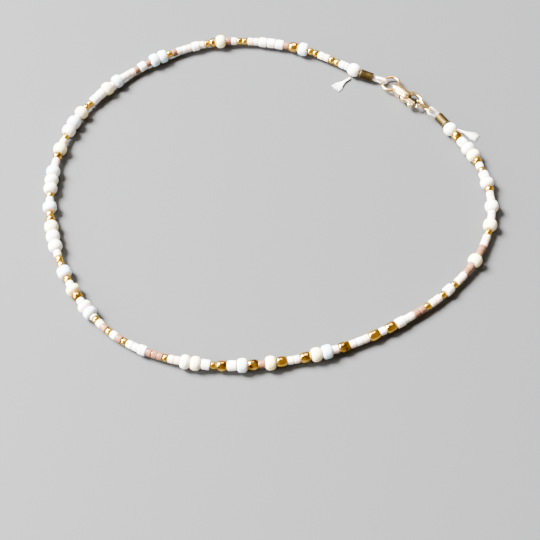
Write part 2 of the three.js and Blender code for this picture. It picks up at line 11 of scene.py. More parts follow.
import bpy
import numpy as np
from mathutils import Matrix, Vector


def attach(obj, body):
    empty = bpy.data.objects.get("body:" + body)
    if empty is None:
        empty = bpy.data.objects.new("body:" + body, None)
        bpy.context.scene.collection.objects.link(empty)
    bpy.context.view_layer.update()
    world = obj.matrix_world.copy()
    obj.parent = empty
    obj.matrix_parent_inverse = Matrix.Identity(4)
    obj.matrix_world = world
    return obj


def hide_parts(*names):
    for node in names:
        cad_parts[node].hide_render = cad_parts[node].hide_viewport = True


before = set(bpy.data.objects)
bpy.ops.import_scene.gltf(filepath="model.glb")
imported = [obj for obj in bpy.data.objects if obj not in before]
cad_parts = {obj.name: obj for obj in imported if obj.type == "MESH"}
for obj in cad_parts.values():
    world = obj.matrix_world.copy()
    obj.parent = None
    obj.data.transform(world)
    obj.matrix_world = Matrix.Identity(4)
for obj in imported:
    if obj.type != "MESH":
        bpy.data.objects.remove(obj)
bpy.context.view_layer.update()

log = logging.getLogger("anklet")

MM = 0.001
BODY = "anklet"
LEVER_BODY = "lever"
UP = Vector((0.0, 0.0, 1.0))
THREAD_DIAMETER = 0.5
LARGE_BEAD_DIAMETER = 2.85
# From the chart's origin to the part's origin, in millimetres
PART_SHIFT = Vector((0.0601, 0.0882, 0.0))

Triple = tuple[float, float, float]
Color = Triple
Socket = bpy.types.NodeSocket
Sockets = bpy.types.bpy_prop_collection
# Colour, share of dullness and height that an effect gives
Wired = tuple[Socket, Socket, Socket]


# Shader node groups and finishes


class Wiring:
    """Nodes and links of one material or node group."""

    def __init__(self, tree: bpy.types.NodeTree) -> None:
        """Keeps the tree that the nodes go into."""
        self.tree = tree

    def feed(self, sockets: Sockets, values: dict) -> None:
        """Links or sets the inputs of a node.

        Args:
            sockets: the node's inputs.
            values: an input's name or number to a value, or to an output socket to link.
        """
        for key, value in values.items():
            if isinstance(value, Socket):
                self.tree.links.new(value, sockets[key])
            else:
                sockets[key].default_value = (*value, 1.0) if sockets[key].type == "RGBA" else value

    def node(self, kind: str, inputs: dict | None = None, **settings: object) -> bpy.types.Node:
        """Adds a shader node.

        Args:
            kind: Blender's node type, without the words that all of them begin with.
            inputs: what its inputs are fed with.
            settings: properties of the node.

        Returns:
            The new node.
        """
        made = self.tree.nodes.new("ShaderNode" + kind)
        for name, value in settings.items():
            setattr(made, name, value)
        self.feed(made.inputs, inputs or {})
        return made

    def blend(self, share: object, first: object, second: object) -> Socket:
        """Colour between two colours by a share, which is kept from 0 to 1."""
        inputs = {0: share, 6: first, 7: second}
        return self.node("Mix", inputs, data_type="RGBA", clamp_factor=True).outputs[2]

    def times(self, first: object, second: object) -> Socket:
        """Product of two numbers."""
        return self.node("Math", {0: first, 1: second}, operation="MULTIPLY").outputs[0]

    def plus(self, first: object, second: object) -> Socket:
        """Sum of two numbers."""
        return self.node("Math", {0: first, 1: second}, operation="ADD").outputs[0]

    def spread(self, value: object, low: object, high: object) -> Socket:
        """Number from 0 to 1 spread over a new range."""
        return self.node("MapRange", {"Value": value, "To Min": low, "To Max": high}).outputs[0]

    def grain(self, scale: object, detail: float = 3.0, place: Socket | None = None) -> Socket:
        """Soft grain over the object or over given coordinates, as numbers round a half."""
        place = self.node("TexCoord").outputs["Object"] if place is None else place
        return self.node("TexNoise", {"Vector": place, "Scale": scale, "Detail": detail}).outputs[0]

    def value(self, name: str) -> Socket:
        """Number kept on the mesh's points under a name."""
        return self.node("Attribute", attribute_name=name).outputs["Fac"]

    def bump(self, height: Socket, distance: float, strength: float) -> Socket:
        """Normals of a relief."""
        return self.node("Bump", {"Height": height, "Distance": distance, "Strength": strength}).outputs[0]


def painted(name: str, paint: Callable[[Wiring], dict[str, object]]) -> bpy.types.Material:
    """New material.

    Args:
        name: the material's name.
        paint: adds the material's nodes, and gives what feeds its shader.

    Returns:
        The material.
    """
    made = bpy.data.materials.new(name)
    made.use_nodes = True
    wiring = Wiring(made.node_tree)
    wiring.feed(made.node_tree.nodes["Principled BSDF"].inputs, paint(wiring))
    return made


@dataclass(frozen=True)
class Finish:
    """A surface finish: what its shared effect is given, and the shader's own constant values."""

    name: str
    main: Color
    second: Color
    smooth: float = 0.06
    dull: float = 0.16
    relief: float = 0.00001
    relief_strength: float = 0.2
    effect: ClassVar[str]

    def given(self) -> dict[str, object]:
        """Colours and numbers that the effect is given."""
        return {"Main": self.main, "Second": self.second, "Smooth": self.smooth, "Dull": self.dull}

    def shader(self) -> dict[str, object]:
        """The shader's own constant values."""
        return {}

    def wire(self, wiring: Wiring, given: Sockets) -> Wired:
        """Adds the effect's nodes.

        Args:
            wiring: the group's nodes and links.
            given: the group's inputs.

        Returns:
            Its colour, its share of dullness and its height.
        """
        raise NotImplementedError

    def group(self) -> bpy.types.NodeTree:
        """Node group of the effect, built at its first use.

        Returns:
            The node group.
        """
        group = bpy.data.node_groups.get(self.effect)
        if group:
            return group
        group = bpy.data.node_groups.new(self.effect, "ShaderNodeTree")
        kinds = {True: "NodeSocketColor", False: "NodeSocketFloat"}
        for key, value in self.given().items():
            group.interface.new_socket(key, in_out="INPUT", socket_type=kinds[isinstance(value, tuple)])
        for key in ("Color", "Roughness", "Height"):
            group.interface.new_socket(key, in_out="OUTPUT", socket_type=kinds[key == "Color"])
        wiring = Wiring(group)
        given = group.nodes.new("NodeGroupInput").outputs
        color, dullness, height = self.wire(wiring, given)
        rough = wiring.spread(dullness, given["Smooth"], given["Dull"])
        made = group.nodes.new("NodeGroupOutput")
        wiring.feed(made.inputs, {"Color": color, "Roughness": rough, "Height": height})
        return group

    def paint(self, wiring: Wiring) -> dict[str, object]:
        """Adds the effect to a material, and gives what feeds the shader."""
        made = wiring.node("Group", self.given(), node_tree=self.group()).outputs
        return {"Base Color": made["Color"], "Roughness": made["Roughness"],
                "Normal": wiring.bump(made["Height"], self.relief, self.relief_strength), **self.shader()}

    def material(self) -> bpy.types.Material:
        """Material of the finish, built at its first use."""
        return bpy.data.materials.get(self.name) or painted(self.name, self.paint)


@dataclass(frozen=True)
class Rimmed(Finish):
    """A finish with a colour of its own at the rims, which on opal glass is a painted glow of light through
    it.
    """

    rim: Color = (1.0, 0.97, 0.93)
    rim_share: float = 0.4

    def given(self) -> dict[str, object]:
        """Colours and numbers that the effect is given."""
        return {**super().given(), "Rim": self.rim, "Rim Share": self.rim_share}

    def tinted(self, wiring: Wiring, given: Sockets, share: Socket) -> Socket:
        """Main colour with the second one by a share, and the rim's colour over both."""
        plain = wiring.blend(share, given["Main"], given["Second"])
        return wiring.blend(wiring.times(wiring.value("rim"), given["Rim Share"]), plain, given["Rim"])


@dataclass(frozen=True)
class Glass(Rimmed):
    """Pressed glass: cloudy body, a tone of each bead's own and a paler fire-polished rim; on opal the rim is
    a painted peach glow of light through the glass.
    """

    scatter: float = 0.35
    radius: Triple = (1.0, 0.72, 0.5)
    coat: float = 0.5
    effect: ClassVar[str] = "glass_body"
    clouds: ClassVar[float] = 700.0
    cloud_share: ClassVar[float] = 0.45
    cloud_relief: ClassVar[float] = 2.0
    tone_share: ClassVar[float] = 0.5
    fine_grain: ClassVar[float] = 2600.0

    def shader(self) -> dict[str, object]:
        """The shader's own constant values."""
        return {"Subsurface Weight": self.scatter, "Subsurface Radius": self.radius,
                "Subsurface Scale": 0.0006, "Coat Weight": self.coat, "Coat Roughness": 0.04, "IOR": 1.52}

    def wire(self, wiring: Wiring, given: Sockets) -> Wired:
        """Mixes the colours by clouds and by the bead's tone.

        Args:
            wiring: the group's nodes and links.
            given: the group's inputs.

        Returns:
            Its colour, its share of dullness and its height.
        """
        cloud = wiring.grain(self.clouds)
        own = wiring.times(wiring.value("tone"), self.tone_share)
        share = wiring.plus(wiring.times(wiring.spread(cloud, -0.8, 1.8), self.cloud_share), own)
        fine = wiring.grain(self.fine_grain, 2.0)
        height = wiring.plus(fine, wiring.times(cloud, self.cloud_relief))
        return self.tinted(wiring, given, share), fine, height


@dataclass(frozen=True)
class Metal(Rimmed):
    """Plated metal: patches of deeper tint, which are tarnish and on the gold beads painted dark reflections,
    worn edges and fine rubbing marks.
    """

    smooth: float = 0.08
    dull: float = 0.2
    relief_strength: float = 0.15
    rim_share: float = 0.5
    tarnish_and_reflection_share: float = 0.5
    patch: float = 500.0
    effect: ClassVar[str] = "worn_metal"
    rubbing: ClassVar[float] = 3800.0
    patch_relief: ClassVar[float] = 1.5

    def given(self) -> dict[str, object]:
        """Colours and numbers that the effect is given."""
        return {**super().given(), "Tarnish And Reflection Share": self.tarnish_and_reflection_share, "Patch": self.patch}

    def shader(self) -> dict[str, object]:
        """The shader's own constant values."""
        return {"Metallic": 1.0}

    def wire(self, wiring: Wiring, given: Sockets) -> Wired:
        """Mixes the colours by patches, more or less of them by the bead's tone; the patches are tarnish, and
        on the gold beads painted dark reflections.

        Args:
            wiring: the group's nodes and links.
            given: the group's inputs.

        Returns:
            Its colour, its share of dullness and its height.
        """
        patch = wiring.spread(wiring.grain(given["Patch"]), -1.0, 2.0)
        own = wiring.spread(wiring.value("tone"), 0.4, 1.6)
        # Patches of the second colour: tarnish, and on the gold beads painted dark reflections
        share = wiring.times(wiring.times(patch, own), given["Tarnish And Reflection Share"])
        rub = wiring.grain(self.rubbing, 4.0)
        height = wiring.plus(rub, wiring.times(patch, self.patch_relief))
        return self.tinted(wiring, given, share), rub, height


@dataclass(frozen=True)
class Fibre(Finish):
    """Spun thread: filaments along the strand, with painted shade between the plies."""

    smooth: float = 0.6
    dull: float = 0.85
    sheen: float = 0.2
    scatter: float = 0.06
    radius: Triple = (1.0, 0.9, 0.8)
    effect: ClassVar[str] = "spun_fibre"
    filaments: ClassVar[Triple] = (40.0, 3.0, 0.0)

    def shader(self) -> dict[str, object]:
        """The shader's own constant values."""
        return {"Sheen Weight": self.sheen, "Sheen Roughness": 0.5, "Subsurface Weight": self.scatter,
                "Subsurface Radius": self.radius, "Subsurface Scale": 0.0003}

    def wire(self, wiring: Wiring, given: Sockets) -> Wired:
        """Mixes the colours by filaments, with painted shade in the grooves.

        Args:
            wiring: the group's nodes and links.
            given: the group's inputs.

        Returns:
            Its colour, its share of dullness and its height.
        """
        flat = wiring.node("TexCoord").outputs["UV"]
        drawn = wiring.node("VectorMath", {0: flat, 1: self.filaments}, operation="MULTIPLY").outputs[0]
        strands = wiring.grain(1.0, place=drawn)
        # The second colour is painted shade in the grooves, mixed with the filaments' grain
        groove_shade_and_grain = wiring.plus(wiring.value("rim"), wiring.spread(strands, -0.35, 0.55))
        return wiring.blend(groove_shade_and_grain, given["Main"], given["Second"]), strands, strands


IVORY_GLASS = Glass("ivory_glass", (1.0, 0.82, 0.4), (1.0, 0.9, 0.6), rim=(1.0, 0.95, 0.8), scatter=0.4)
WHITE_GLASS = Glass("white_glass", (0.98, 0.94, 0.87), (0.95, 0.88, 0.8))
# Opal's rim colour is a painted peach glow of light passing through the glass, at the bead's ends
OPAL_GLASS = Glass("opal_glass", (0.5, 0.74, 1.0), (0.84, 0.91, 1.0), smooth=0.03, dull=0.08, scatter=0.6,
                   rim=(1.0, 0.8, 0.58), rim_share=0.9, radius=(1.8, 0.8, 0.4), coat=0.9)
WIDE_WHITE_GLASS = Glass("wide_tube_glass", (1.0, 0.96, 0.92), (0.97, 0.89, 0.86), rim=(1.0, 0.97, 0.95),
                         coat=0.9)
SMALL_WHITE_GLASS = Glass("small_white_glass", (1.0, 0.96, 0.91), (0.96, 0.9, 0.83))
BLUSH_GLASS = Glass("blush_glass", (0.88, 0.62, 0.5), (0.93, 0.78, 0.7), rim=(0.96, 0.88, 0.82))
CREAM_GLASS = Glass("cream_glass", (0.93, 0.75, 0.48), (0.95, 0.84, 0.65), rim=(0.97, 0.91, 0.8))
ROSE_GLASS = Glass("rose_glass", (0.14, 0.054, 0.023), (0.2, 0.086, 0.044), smooth=0.2, dull=0.38,
                   rim=(0.32, 0.17, 0.105), scatter=0.08, coat=0.25)
SPACER_GLASS = Glass("spacer_glass", (0.87, 0.82, 0.76), (0.92, 0.88, 0.84), rim=(0.96, 0.93, 0.9))
# On the gold beads the small dark patches of the second colour are painted dark reflections
BEAD_GOLD = Metal("bead_gold", (0.95, 0.55, 0.06), (0.11, 0.045, 0.005), smooth=0.07, dull=0.18,
                  rim=(0.97, 0.66, 0.16), tarnish_and_reflection_share=0.8, patch=850.0)
SMALL_BEAD_GOLD = Metal("small_bead_gold", (0.96, 0.6, 0.05), (0.5, 0.25, 0.02), smooth=0.1, dull=0.22,
                        rim=(0.97, 0.7, 0.18))
RING_GOLD = Metal("ring_wire_gold", (0.92, 0.6, 0.2), (0.66, 0.34, 0.06), smooth=0.1, dull=0.2,
                  relief_strength=0.05, rim=(0.95, 0.7, 0.3))
CLASP_GOLD = Metal("clasp_cast_gold", (0.97, 0.72, 0.37), (0.82, 0.5, 0.18), smooth=0.16, dull=0.24,
                   relief_strength=0.015, rim=(0.97, 0.76, 0.44), tarnish_and_reflection_share=0.35)
CRIMP_BRONZE = Metal("crimp_bronze", (0.039, 0.026, 0.0075), (0.024, 0.016, 0.005), smooth=0.4, dull=0.55,
                     relief_strength=0.2, rim=(0.13, 0.087, 0.03), tarnish_and_reflection_share=0.6)
# Second colours of the thread: painted shade in the grooves between the plies, mixed with the filaments'
# grain
THREAD_FINISH = Fibre("spun_thread", (1.0, 0.99, 0.97), (0.66, 0.61, 0.55), relief=0.00004,
                      relief_strength=0.5)
FIBRE_FINISH = Fibre("frayed_fibre", (0.98, 0.97, 0.96), (0.9, 0.87, 0.83), relief_strength=0.3, sheen=0.3,
                     scatter=0.2, radius=(1.0, 0.95, 0.9))


# Meshes


def turns(count: int) -> list[float]:
    """Angles of one full turn in equal steps."""
    return [2 * math.pi * k / count for k in range(count)]


def powered(value: float, power: float) -> float:
    """Power of a number's size, with the number's sign."""
    return math.copysign(abs(value) ** power, value)


def put(name: str, data: bpy.types.ID) -> bpy.types.Object:
    """Puts a new object into the scene.

    Args:
        name: the object's name.
        data: its mesh, lamp or camera.

    Returns:
        The object.
    """
    made = bpy.data.objects.new(name, data)
    bpy.context.scene.collection.objects.link(made)
    return made


def show(name: str, mesh: bpy.types.Mesh, finish: Finish, nodes: Sequence[str],
         body: str = BODY) -> None:
    """Puts a piece into the scene, on its body and in place of its nodes.

    Args:
        name: the piece's name.
        mesh: its mesh, in the part's frame.
        finish: its finish.
        nodes: the nodes that it stands for.
        body: the body that it rides on.
    """
    piece = put(name, mesh)
    mesh.materials.append(finish.material())
    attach(piece, body)
    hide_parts(*nodes)
    log.info("%s: %d faces, stands for %s", name, len(mesh.polygons), ", ".join(nodes))


@dataclass
class Form:
    """Points, faces and point values of a mesh in the making, in millimetres of the chart's frame."""

    points: list[Vector] = field(default_factory=list)
    faces: list[tuple[int, ...]] = field(default_factory=list)
    rims: list[float] = field(default_factory=list)
    tones: list[float] = field(default_factory=list)
    places: list[tuple[float, float]] = field(default_factory=list)

    def grid(self, rings: Sequence[Sequence[Vector]], rims: Sequence[Sequence[float]] | None = None,
             tone: float = 0.5, closed: bool = False, lengths: Sequence[float] | None = None) -> "Form":
        """Adds a skin through rings of points that turn the same way.

        Args:
            rings: rows of points, each closed on itself.
            rims: the rim value of each point, none for nought; on most parts it is wear, on thread it is
                painted shade in the grooves.
            tone: the tone of the whole skin.
            closed: whether the last ring joins the first, where otherwise both are filled.
            lengths: each ring's distance along the strand, for thread.

        Returns:
            The form itself.
        """
        start = len(self.points)
        count = len(rings[0])
        for row, ring in enumerate(rings):
            self.points.extend(ring)
            self.rims.extend(rims[row] if rims else [0.0] * count)
            self.tones.extend([tone] * count)
            along = lengths[row] if lengths else row / len(rings)
            self.places.extend((k / count, along) for k in range(count))
        for row in range(len(rings) if closed else len(rings) - 1):
            here, after = start + row * count, start + (row + 1) % len(rings) * count
            for k in range(count):
                beside = (k + 1) % count
                self.faces.append((here + k, here + beside, after + beside, after + k))
        if not closed:
            last = start + (len(rings) - 1) * count
            self.faces.append(tuple(start + k for k in reversed(range(count))))
            self.faces.append(tuple(last + k for k in range(count)))
        return self

    def mesh(self, name: str) -> bpy.types.Mesh:
        """Mesh of the form in the part's frame, in metres.

        Args:
            name: the mesh's name.

        Returns:
            The mesh, with its point values and its map.
        """
        made = bpy.data.meshes.new(name)
        places = (np.array([tuple(p) for p in self.points]) + np.array(tuple(PART_SHIFT))) * MM
        made.from_pydata([tuple(p) for p in places], [], self.faces)
        for key, numbers in (("rim", self.rims), ("tone", self.tones)):
            made.attributes.new(key, "FLOAT", "POINT").data.foreach_set("value", numbers)
        layer = made.uv_layers.new(name="along")
        layer.data.foreach_set("uv", [v for loop in made.loops for v in self.places[loop.vertex_index]])
        made.polygons.foreach_set("use_smooth", [True] * len(made.polygons))
        made.validate()
        made.update()
        return made

    def show(self, name: str, finish: Finish, slot: str, nodes: Sequence[str]) -> None:
        """Puts the form into the scene as a piece on the anklet's body."""
        show(name, self.mesh(name), finish, nodes)


@dataclass(frozen=True)
class Stand:
    """A place with three directions: along an axis, to its side and upward."""

    centre: Vector
    along: Vector
    side: Vector
    up: Vector

    @classmethod
    def on(cls, centre: Vector, along: Vector, upward: Vector = UP) -> "Stand":
        """Stand at a centre with its axis along a direction.

        Args:
            centre: its centre.
            along: the direction of its axis.
            upward: the direction that its upward one is nearest to.

        Returns:
            The stand.
        """
        axis = along.normalized()
        up = (upward - axis * upward.dot(axis)).normalized()
        return cls(centre, axis, up.cross(axis), up)

    def turned(self, tilt_side: float, tilt_up: float) -> "Stand":
        """Stand tipped by two small angles in radians."""
        axis = (self.along + self.side * tilt_side + self.up * tilt_up).normalized()
        return Stand.on(self.centre, axis, self.up)

    def point(self, axial: float, radius: float, angle: float) -> Vector:
        """Point at a distance along the axis and from it, at an angle round it."""
        return (self.centre + self.along * axial + self.side * (radius * math.cos(angle))
                + self.up * (radius * math.sin(angle)))


def smooth_curve(points: Sequence[Vector], steps: int) -> list[Vector]:
    """Centripetal spline through points.

    Args:
        points: the points that it goes through.
        steps: pieces of each span.

    Returns:
        The curve's points.
    """
    ends = [points[0] * 2 - points[1], *points, points[-1] * 2 - points[-2]]
    curve = []
    for i in range(1, len(ends) - 2):
        a, b, c, d = ends[i - 1:i + 3]
        first, middle, last = (max((q - p).length ** 0.5, 1e-6) for p, q in ((a, b), (b, c), (c, d)))
        before = ((b - a) / first - (c - a) / (first + middle) + (c - b) / middle) * middle
        after = ((c - b) / middle - (d - b) / (middle + last) + (d - c) / last) * middle
        for k in range(steps):
            t = k / steps
            curve.append(b * (2 * t ** 3 - 3 * t ** 2 + 1) + before * (t ** 3 - 2 * t ** 2 + t)
                         + c * (3 * t ** 2 - 2 * t ** 3) + after * (t ** 3 - t ** 2))
    return [*curve, points[-1].copy()]


class Strand:
    """A path measured along its length."""

    def __init__(self, points: Sequence[Vector]) -> None:
        """Measures the path.

        Args:
            points: the points that it goes through.
        """
        self.points = list(points)
        gaps = [(b - a).length for a, b in zip(self.points, self.points[1:])]
        self.ends = np.concatenate([[0.0], np.cumsum(gaps)])
        self.length = float(self.ends[-1])

    def at(self, distance: float) -> Vector:
        """Point of the path.

        Args:
            distance: its distance along the path.

        Returns:
            The point, or the nearest end.
        """
        distance = min(max(distance, 0.0), self.length)
        i = min(int(np.searchsorted(self.ends, distance, side="right")) - 1, len(self.points) - 2)
        share = (distance - self.ends[i]) / max(self.ends[i + 1] - self.ends[i], 1e-9)
        return self.points[i].lerp(self.points[i + 1], share)


@dataclass
class Twist:
    """Section of a spun thread: round plies that turn along it, with painted shade in the grooves between
    them.
    """

    diameter: float = THREAD_DIAMETER
    plies: int = 3
    pitch: float = 1.7
    groove: float = 0.24
    groove_shade: float = 0.7
    groove_power: float = 1.5
    sides: int = 18

    def skin(self, form: Form, path: Strand, step: float, upward: Vector = UP) -> None:
        """Adds the thread along a path to a form.

        Args:
            form: the form that it goes into.
            path: the thread's centre line.
            step: distance between its rings.
            upward: direction that its sections are measured from.
        """
        count = max(int(path.length / step), 4)
        rings, rims, lengths = [], [], []
        up = upward
        for i in range(count + 1):
            at = path.length * i / count
            along = path.at(min(at + step, path.length)) - path.at(max(at - step, 0.0))
            stand = Stand.on(path.at(at), along, up)
            up = stand.up
            ring, rim = [], []
            for angle in reversed(turns(self.sides)):
                ply = math.cos(self.plies * (angle - 2 * math.pi * at / self.pitch / self.plies))
                depth = 0.5 - 0.5 * ply
                radius = self.diameter / 2 * (1 - self.groove * depth ** self.groove_power)
                ring.append(stand.point(0.0, radius, -angle))
                # The rim value here is painted shade, deepest in the grooves between the plies
                rim.append(depth * self.groove_shade)
            rings.append(ring)
            rims.append(rim)
            lengths.append(at)
        form.grid(rings, rims, lengths=lengths)


def add_fibre(form: Form, points: Sequence[Vector], radius: float, tone: float) -> None:
    """Adds one loose fibre, thinner at its end.

    Args:
        form: the form that it goes into.
        points: its centre line.
        radius: its radius at the root.
        tone: its tone.
    """
    rings = []
    for i, point in enumerate(points):
        along = points[min(i + 1, len(points) - 1)] - points[max(i - 1, 0)]
        stand = Stand.on(point, along, UP if abs(along.normalized().z) < 0.95 else Vector((1, 0, 0)))
        size = radius * (1 - 0.5 * i / (len(points) - 1))
        rings.append([stand.point(0.0, size, angle) for angle in turns(3)])
    form.grid(rings, [[tone * 0.3] * 3] * len(rings), tone)


# The string of beads


class Cut(Enum):
    """How a bead is shaped, each with the number of sides round it."""

    ROUND = 40
    TUBE = 28
    FACETED = 36


@dataclass(frozen=True)
class BeadKind:
    """Sizes, shape and finish of one kind of bead."""

    name: str
    finish: Finish
    diameter: float = LARGE_BEAD_DIAMETER
    length: float = 2.15
    cut: Cut = Cut.ROUND
    own: bool = False
    fullness: float = 2.6
    face: float = 0.64
    large_bore: ClassVar[float] = 0.5
    small_bore: ClassVar[float] = 0.38
    lip: ClassVar[float] = 0.05
    bevel: ClassVar[float] = 0.06
    bore_wear: ClassVar[float] = 0.2
    face_wear: ClassVar[float] = 0.7
    tube_power: ClassVar[float] = 5.0
    tube_steps: ClassVar[int] = 20
    # Places of the rings of a round bead, from its end to its middle, as shares of half its length
    shares: ClassVar[tuple[float, ...]] = (1.0, 0.97, 0.9, 0.8, 0.65, 0.45, 0.22)
    facets: ClassVar[int] = 9
    facet_depth: ClassVar[float] = 0.45

    @property
    def slot(self) -> str:
        """Slot name of the bead's kind."""
        return f"{self.name}_bead" if self.own else "small_beads"

    def profile(self, length: float) -> list[tuple[float, float, float]]:
        """Section of the bead through its wall, closed on itself.

        Args:
            length: the bead's length on the string.

        Returns:
            Distance along the axis, radius and wear of each point.
        """
        radius, half = self.diameter / 2, length / 2
        bore = self.large_bore if self.own else self.small_bore
        section = []
        if self.cut is not Cut.TUBE:
            power = self.fullness
            swell = half / (1 - self.face ** power) ** (1 / power)
            for share in (*(-share for share in self.shares), 0.0, *reversed(self.shares)):
                out = radius * (1 - (abs(share) * half / swell) ** power) ** (1 / power)
                out -= self.lip if abs(share) == 1.0 else 0.0
                section.append((half * share, out, self.end_wear(abs(share))))
            return [(-half, bore + self.lip, self.face_wear), *section,
                    (half, bore + self.lip, self.face_wear),
                    (half - self.bevel, bore, self.bore_wear), (self.bevel - half, bore, self.bore_wear)]
        middle, reach = (radius + bore) / 2, (radius - bore) / 2
        for k in range(self.tube_steps):
            angle = 2 * math.pi * (k + 0.5) / self.tube_steps
            axial = half * powered(math.cos(angle), 2 / self.tube_power)
            out = middle - reach * powered(math.sin(angle), 2 / self.tube_power)
            section.append((axial, out, self.end_wear(abs(axial) / half)))
        return section[::-1]

    @staticmethod
    def end_wear(share: float) -> float:
        """Wear at a share of the way from the bead's middle to its end."""
        return min(1.0, max(0.0, (share - 0.8) * 5.0))

    def flattening(self, angle: float) -> float:
        """Share of the full radius, less where a cut bead has a soft facet.

        Args:
            angle: the angle round the bead.

        Returns:
            The share.
        """
        if self.cut is not Cut.FACETED:
            return 1.0
        half = math.pi / self.facets
        return 1 - self.facet_depth * (1 - math.cos(half) / math.cos(angle % (2 * half) - half))

    def add(self, form: Form, stand: Stand, length: float, chance: random.Random) -> None:
        """Adds one bead to a form.

        Args:
            form: the form that it goes into.
            stand: its place and axis.
            length: its length on the string.
            chance: the source of its small differences.
        """
        turn = chance.uniform(0, 2 * math.pi)
        tone = chance.random()
        sides = [(turn + angle, self.flattening(angle)) for angle in turns(self.cut.value)]
        rings, rims = [], []
        for axial, radius, rim in self.profile(length):
            outer = radius > self.diameter * 0.3
            rings.append([stand.point(axial, radius * (flat if outer else 1), a) for a, flat in sides])
            rims.append([rim] * len(sides))
        form.grid(rings, rims, tone, closed=True)


KINDS = {
    "C": BeadKind("ivory", IVORY_GLASS, own=True),
    "W": BeadKind("white", WHITE_GLASS, own=True, fullness=2.4),
    "O": BeadKind("opal", OPAL_GLASS, own=True, fullness=3.4),
    "R": BeadKind("white", WHITE_GLASS, length=2.75, own=True, fullness=2.05, face=0.46),
    "M": BeadKind("wide_tubes", WIDE_WHITE_GLASS, 2.05, 1.8, Cut.TUBE),
    "G": BeadKind("large_gold", BEAD_GOLD, 2.2, 2.15, Cut.FACETED, face=0.74),
    "S": BeadKind("short_gold", BEAD_GOLD, 2.0, 1.35, Cut.FACETED, face=0.74),
    "g": BeadKind("small_gold", SMALL_BEAD_GOLD, 1.55, 1.25, fullness=3.2, face=0.74),
    "w": BeadKind("small_white", SMALL_WHITE_GLASS, 1.6, 1.25, Cut.TUBE),
    "b": BeadKind("small_blush", BLUSH_GLASS, 1.6, 1.25, Cut.TUBE),
    "c": BeadKind("small_cream", CREAM_GLASS, 1.6, 1.25, Cut.TUBE),
    "d": BeadKind("small_rose", ROSE_GLASS, 1.6, 1.25, Cut.TUBE),
    "o": BeadKind("thin_spacers", SPACER_GLASS, 1.6, 0.75, Cut.TUBE),
}
# Centre line of the beads from above, from the end bead by the jump ring round to the other end bead
ROUTE = (
    (19.2, 30.7), (17.3, 32.0), (8.8, 36.6), (-2.3, 39.4), (-13.8, 38.9), (-24.4, 34.7), (-33.7, 27.8),
    (-40.9, 18.9), (-44.6, 8.1), (-45.1, -3.4), (-42.7, -14.7), (-37.7, -25.0), (-29.9, -33.3),
    (-19.4, -38.1), (-8.1, -39.6), (3.4, -38.5), (14.5, -35.4), (24.8, -30.4), (34.2, -23.8),
    (41.6, -15.0), (45.1, -4.1), (43.2, 7.1), (37.2, 16.9),
)
# Length and beads of each run along the route
RUNS = (
    (11.4, "Rowggbwg"), (13.5, "gOGdMMMb"), (10.8, "bggbdCSg"), (10.7, "cMbwbdgO"),
    (11.7, "OdMdbbwO"), (11.8, "oCMMggCo"), (13.1, "OWgcCSbo"), (13.4, "OWWgwOgS"),
    (14.8, "CWWcggOg"), (10.8, "cCGwWOog"), (10.1, "cdgwdgww"), (10.5, "MdddgcbW"),
    (14.4, "CMgGMOGd"), (14.5, "CGwbGCOb"), (14.5, "GbwbGwGM"), (10.3, "obddgcbg"),
    (12.2, "MgcbddCd"), (12.3, "dbbgCboW"), (10.9, "bbSWMgwS"), (10.3, "CWMGR"),
)


@dataclass(frozen=True)
class PlacedBead:
    """A bead with its start and end along the string."""

    kind: BeadKind
    start: float
    end: float

    @property
    def middle(self) -> float:
        """Middle of the bead along the string."""
        return (self.start + self.end) / 2


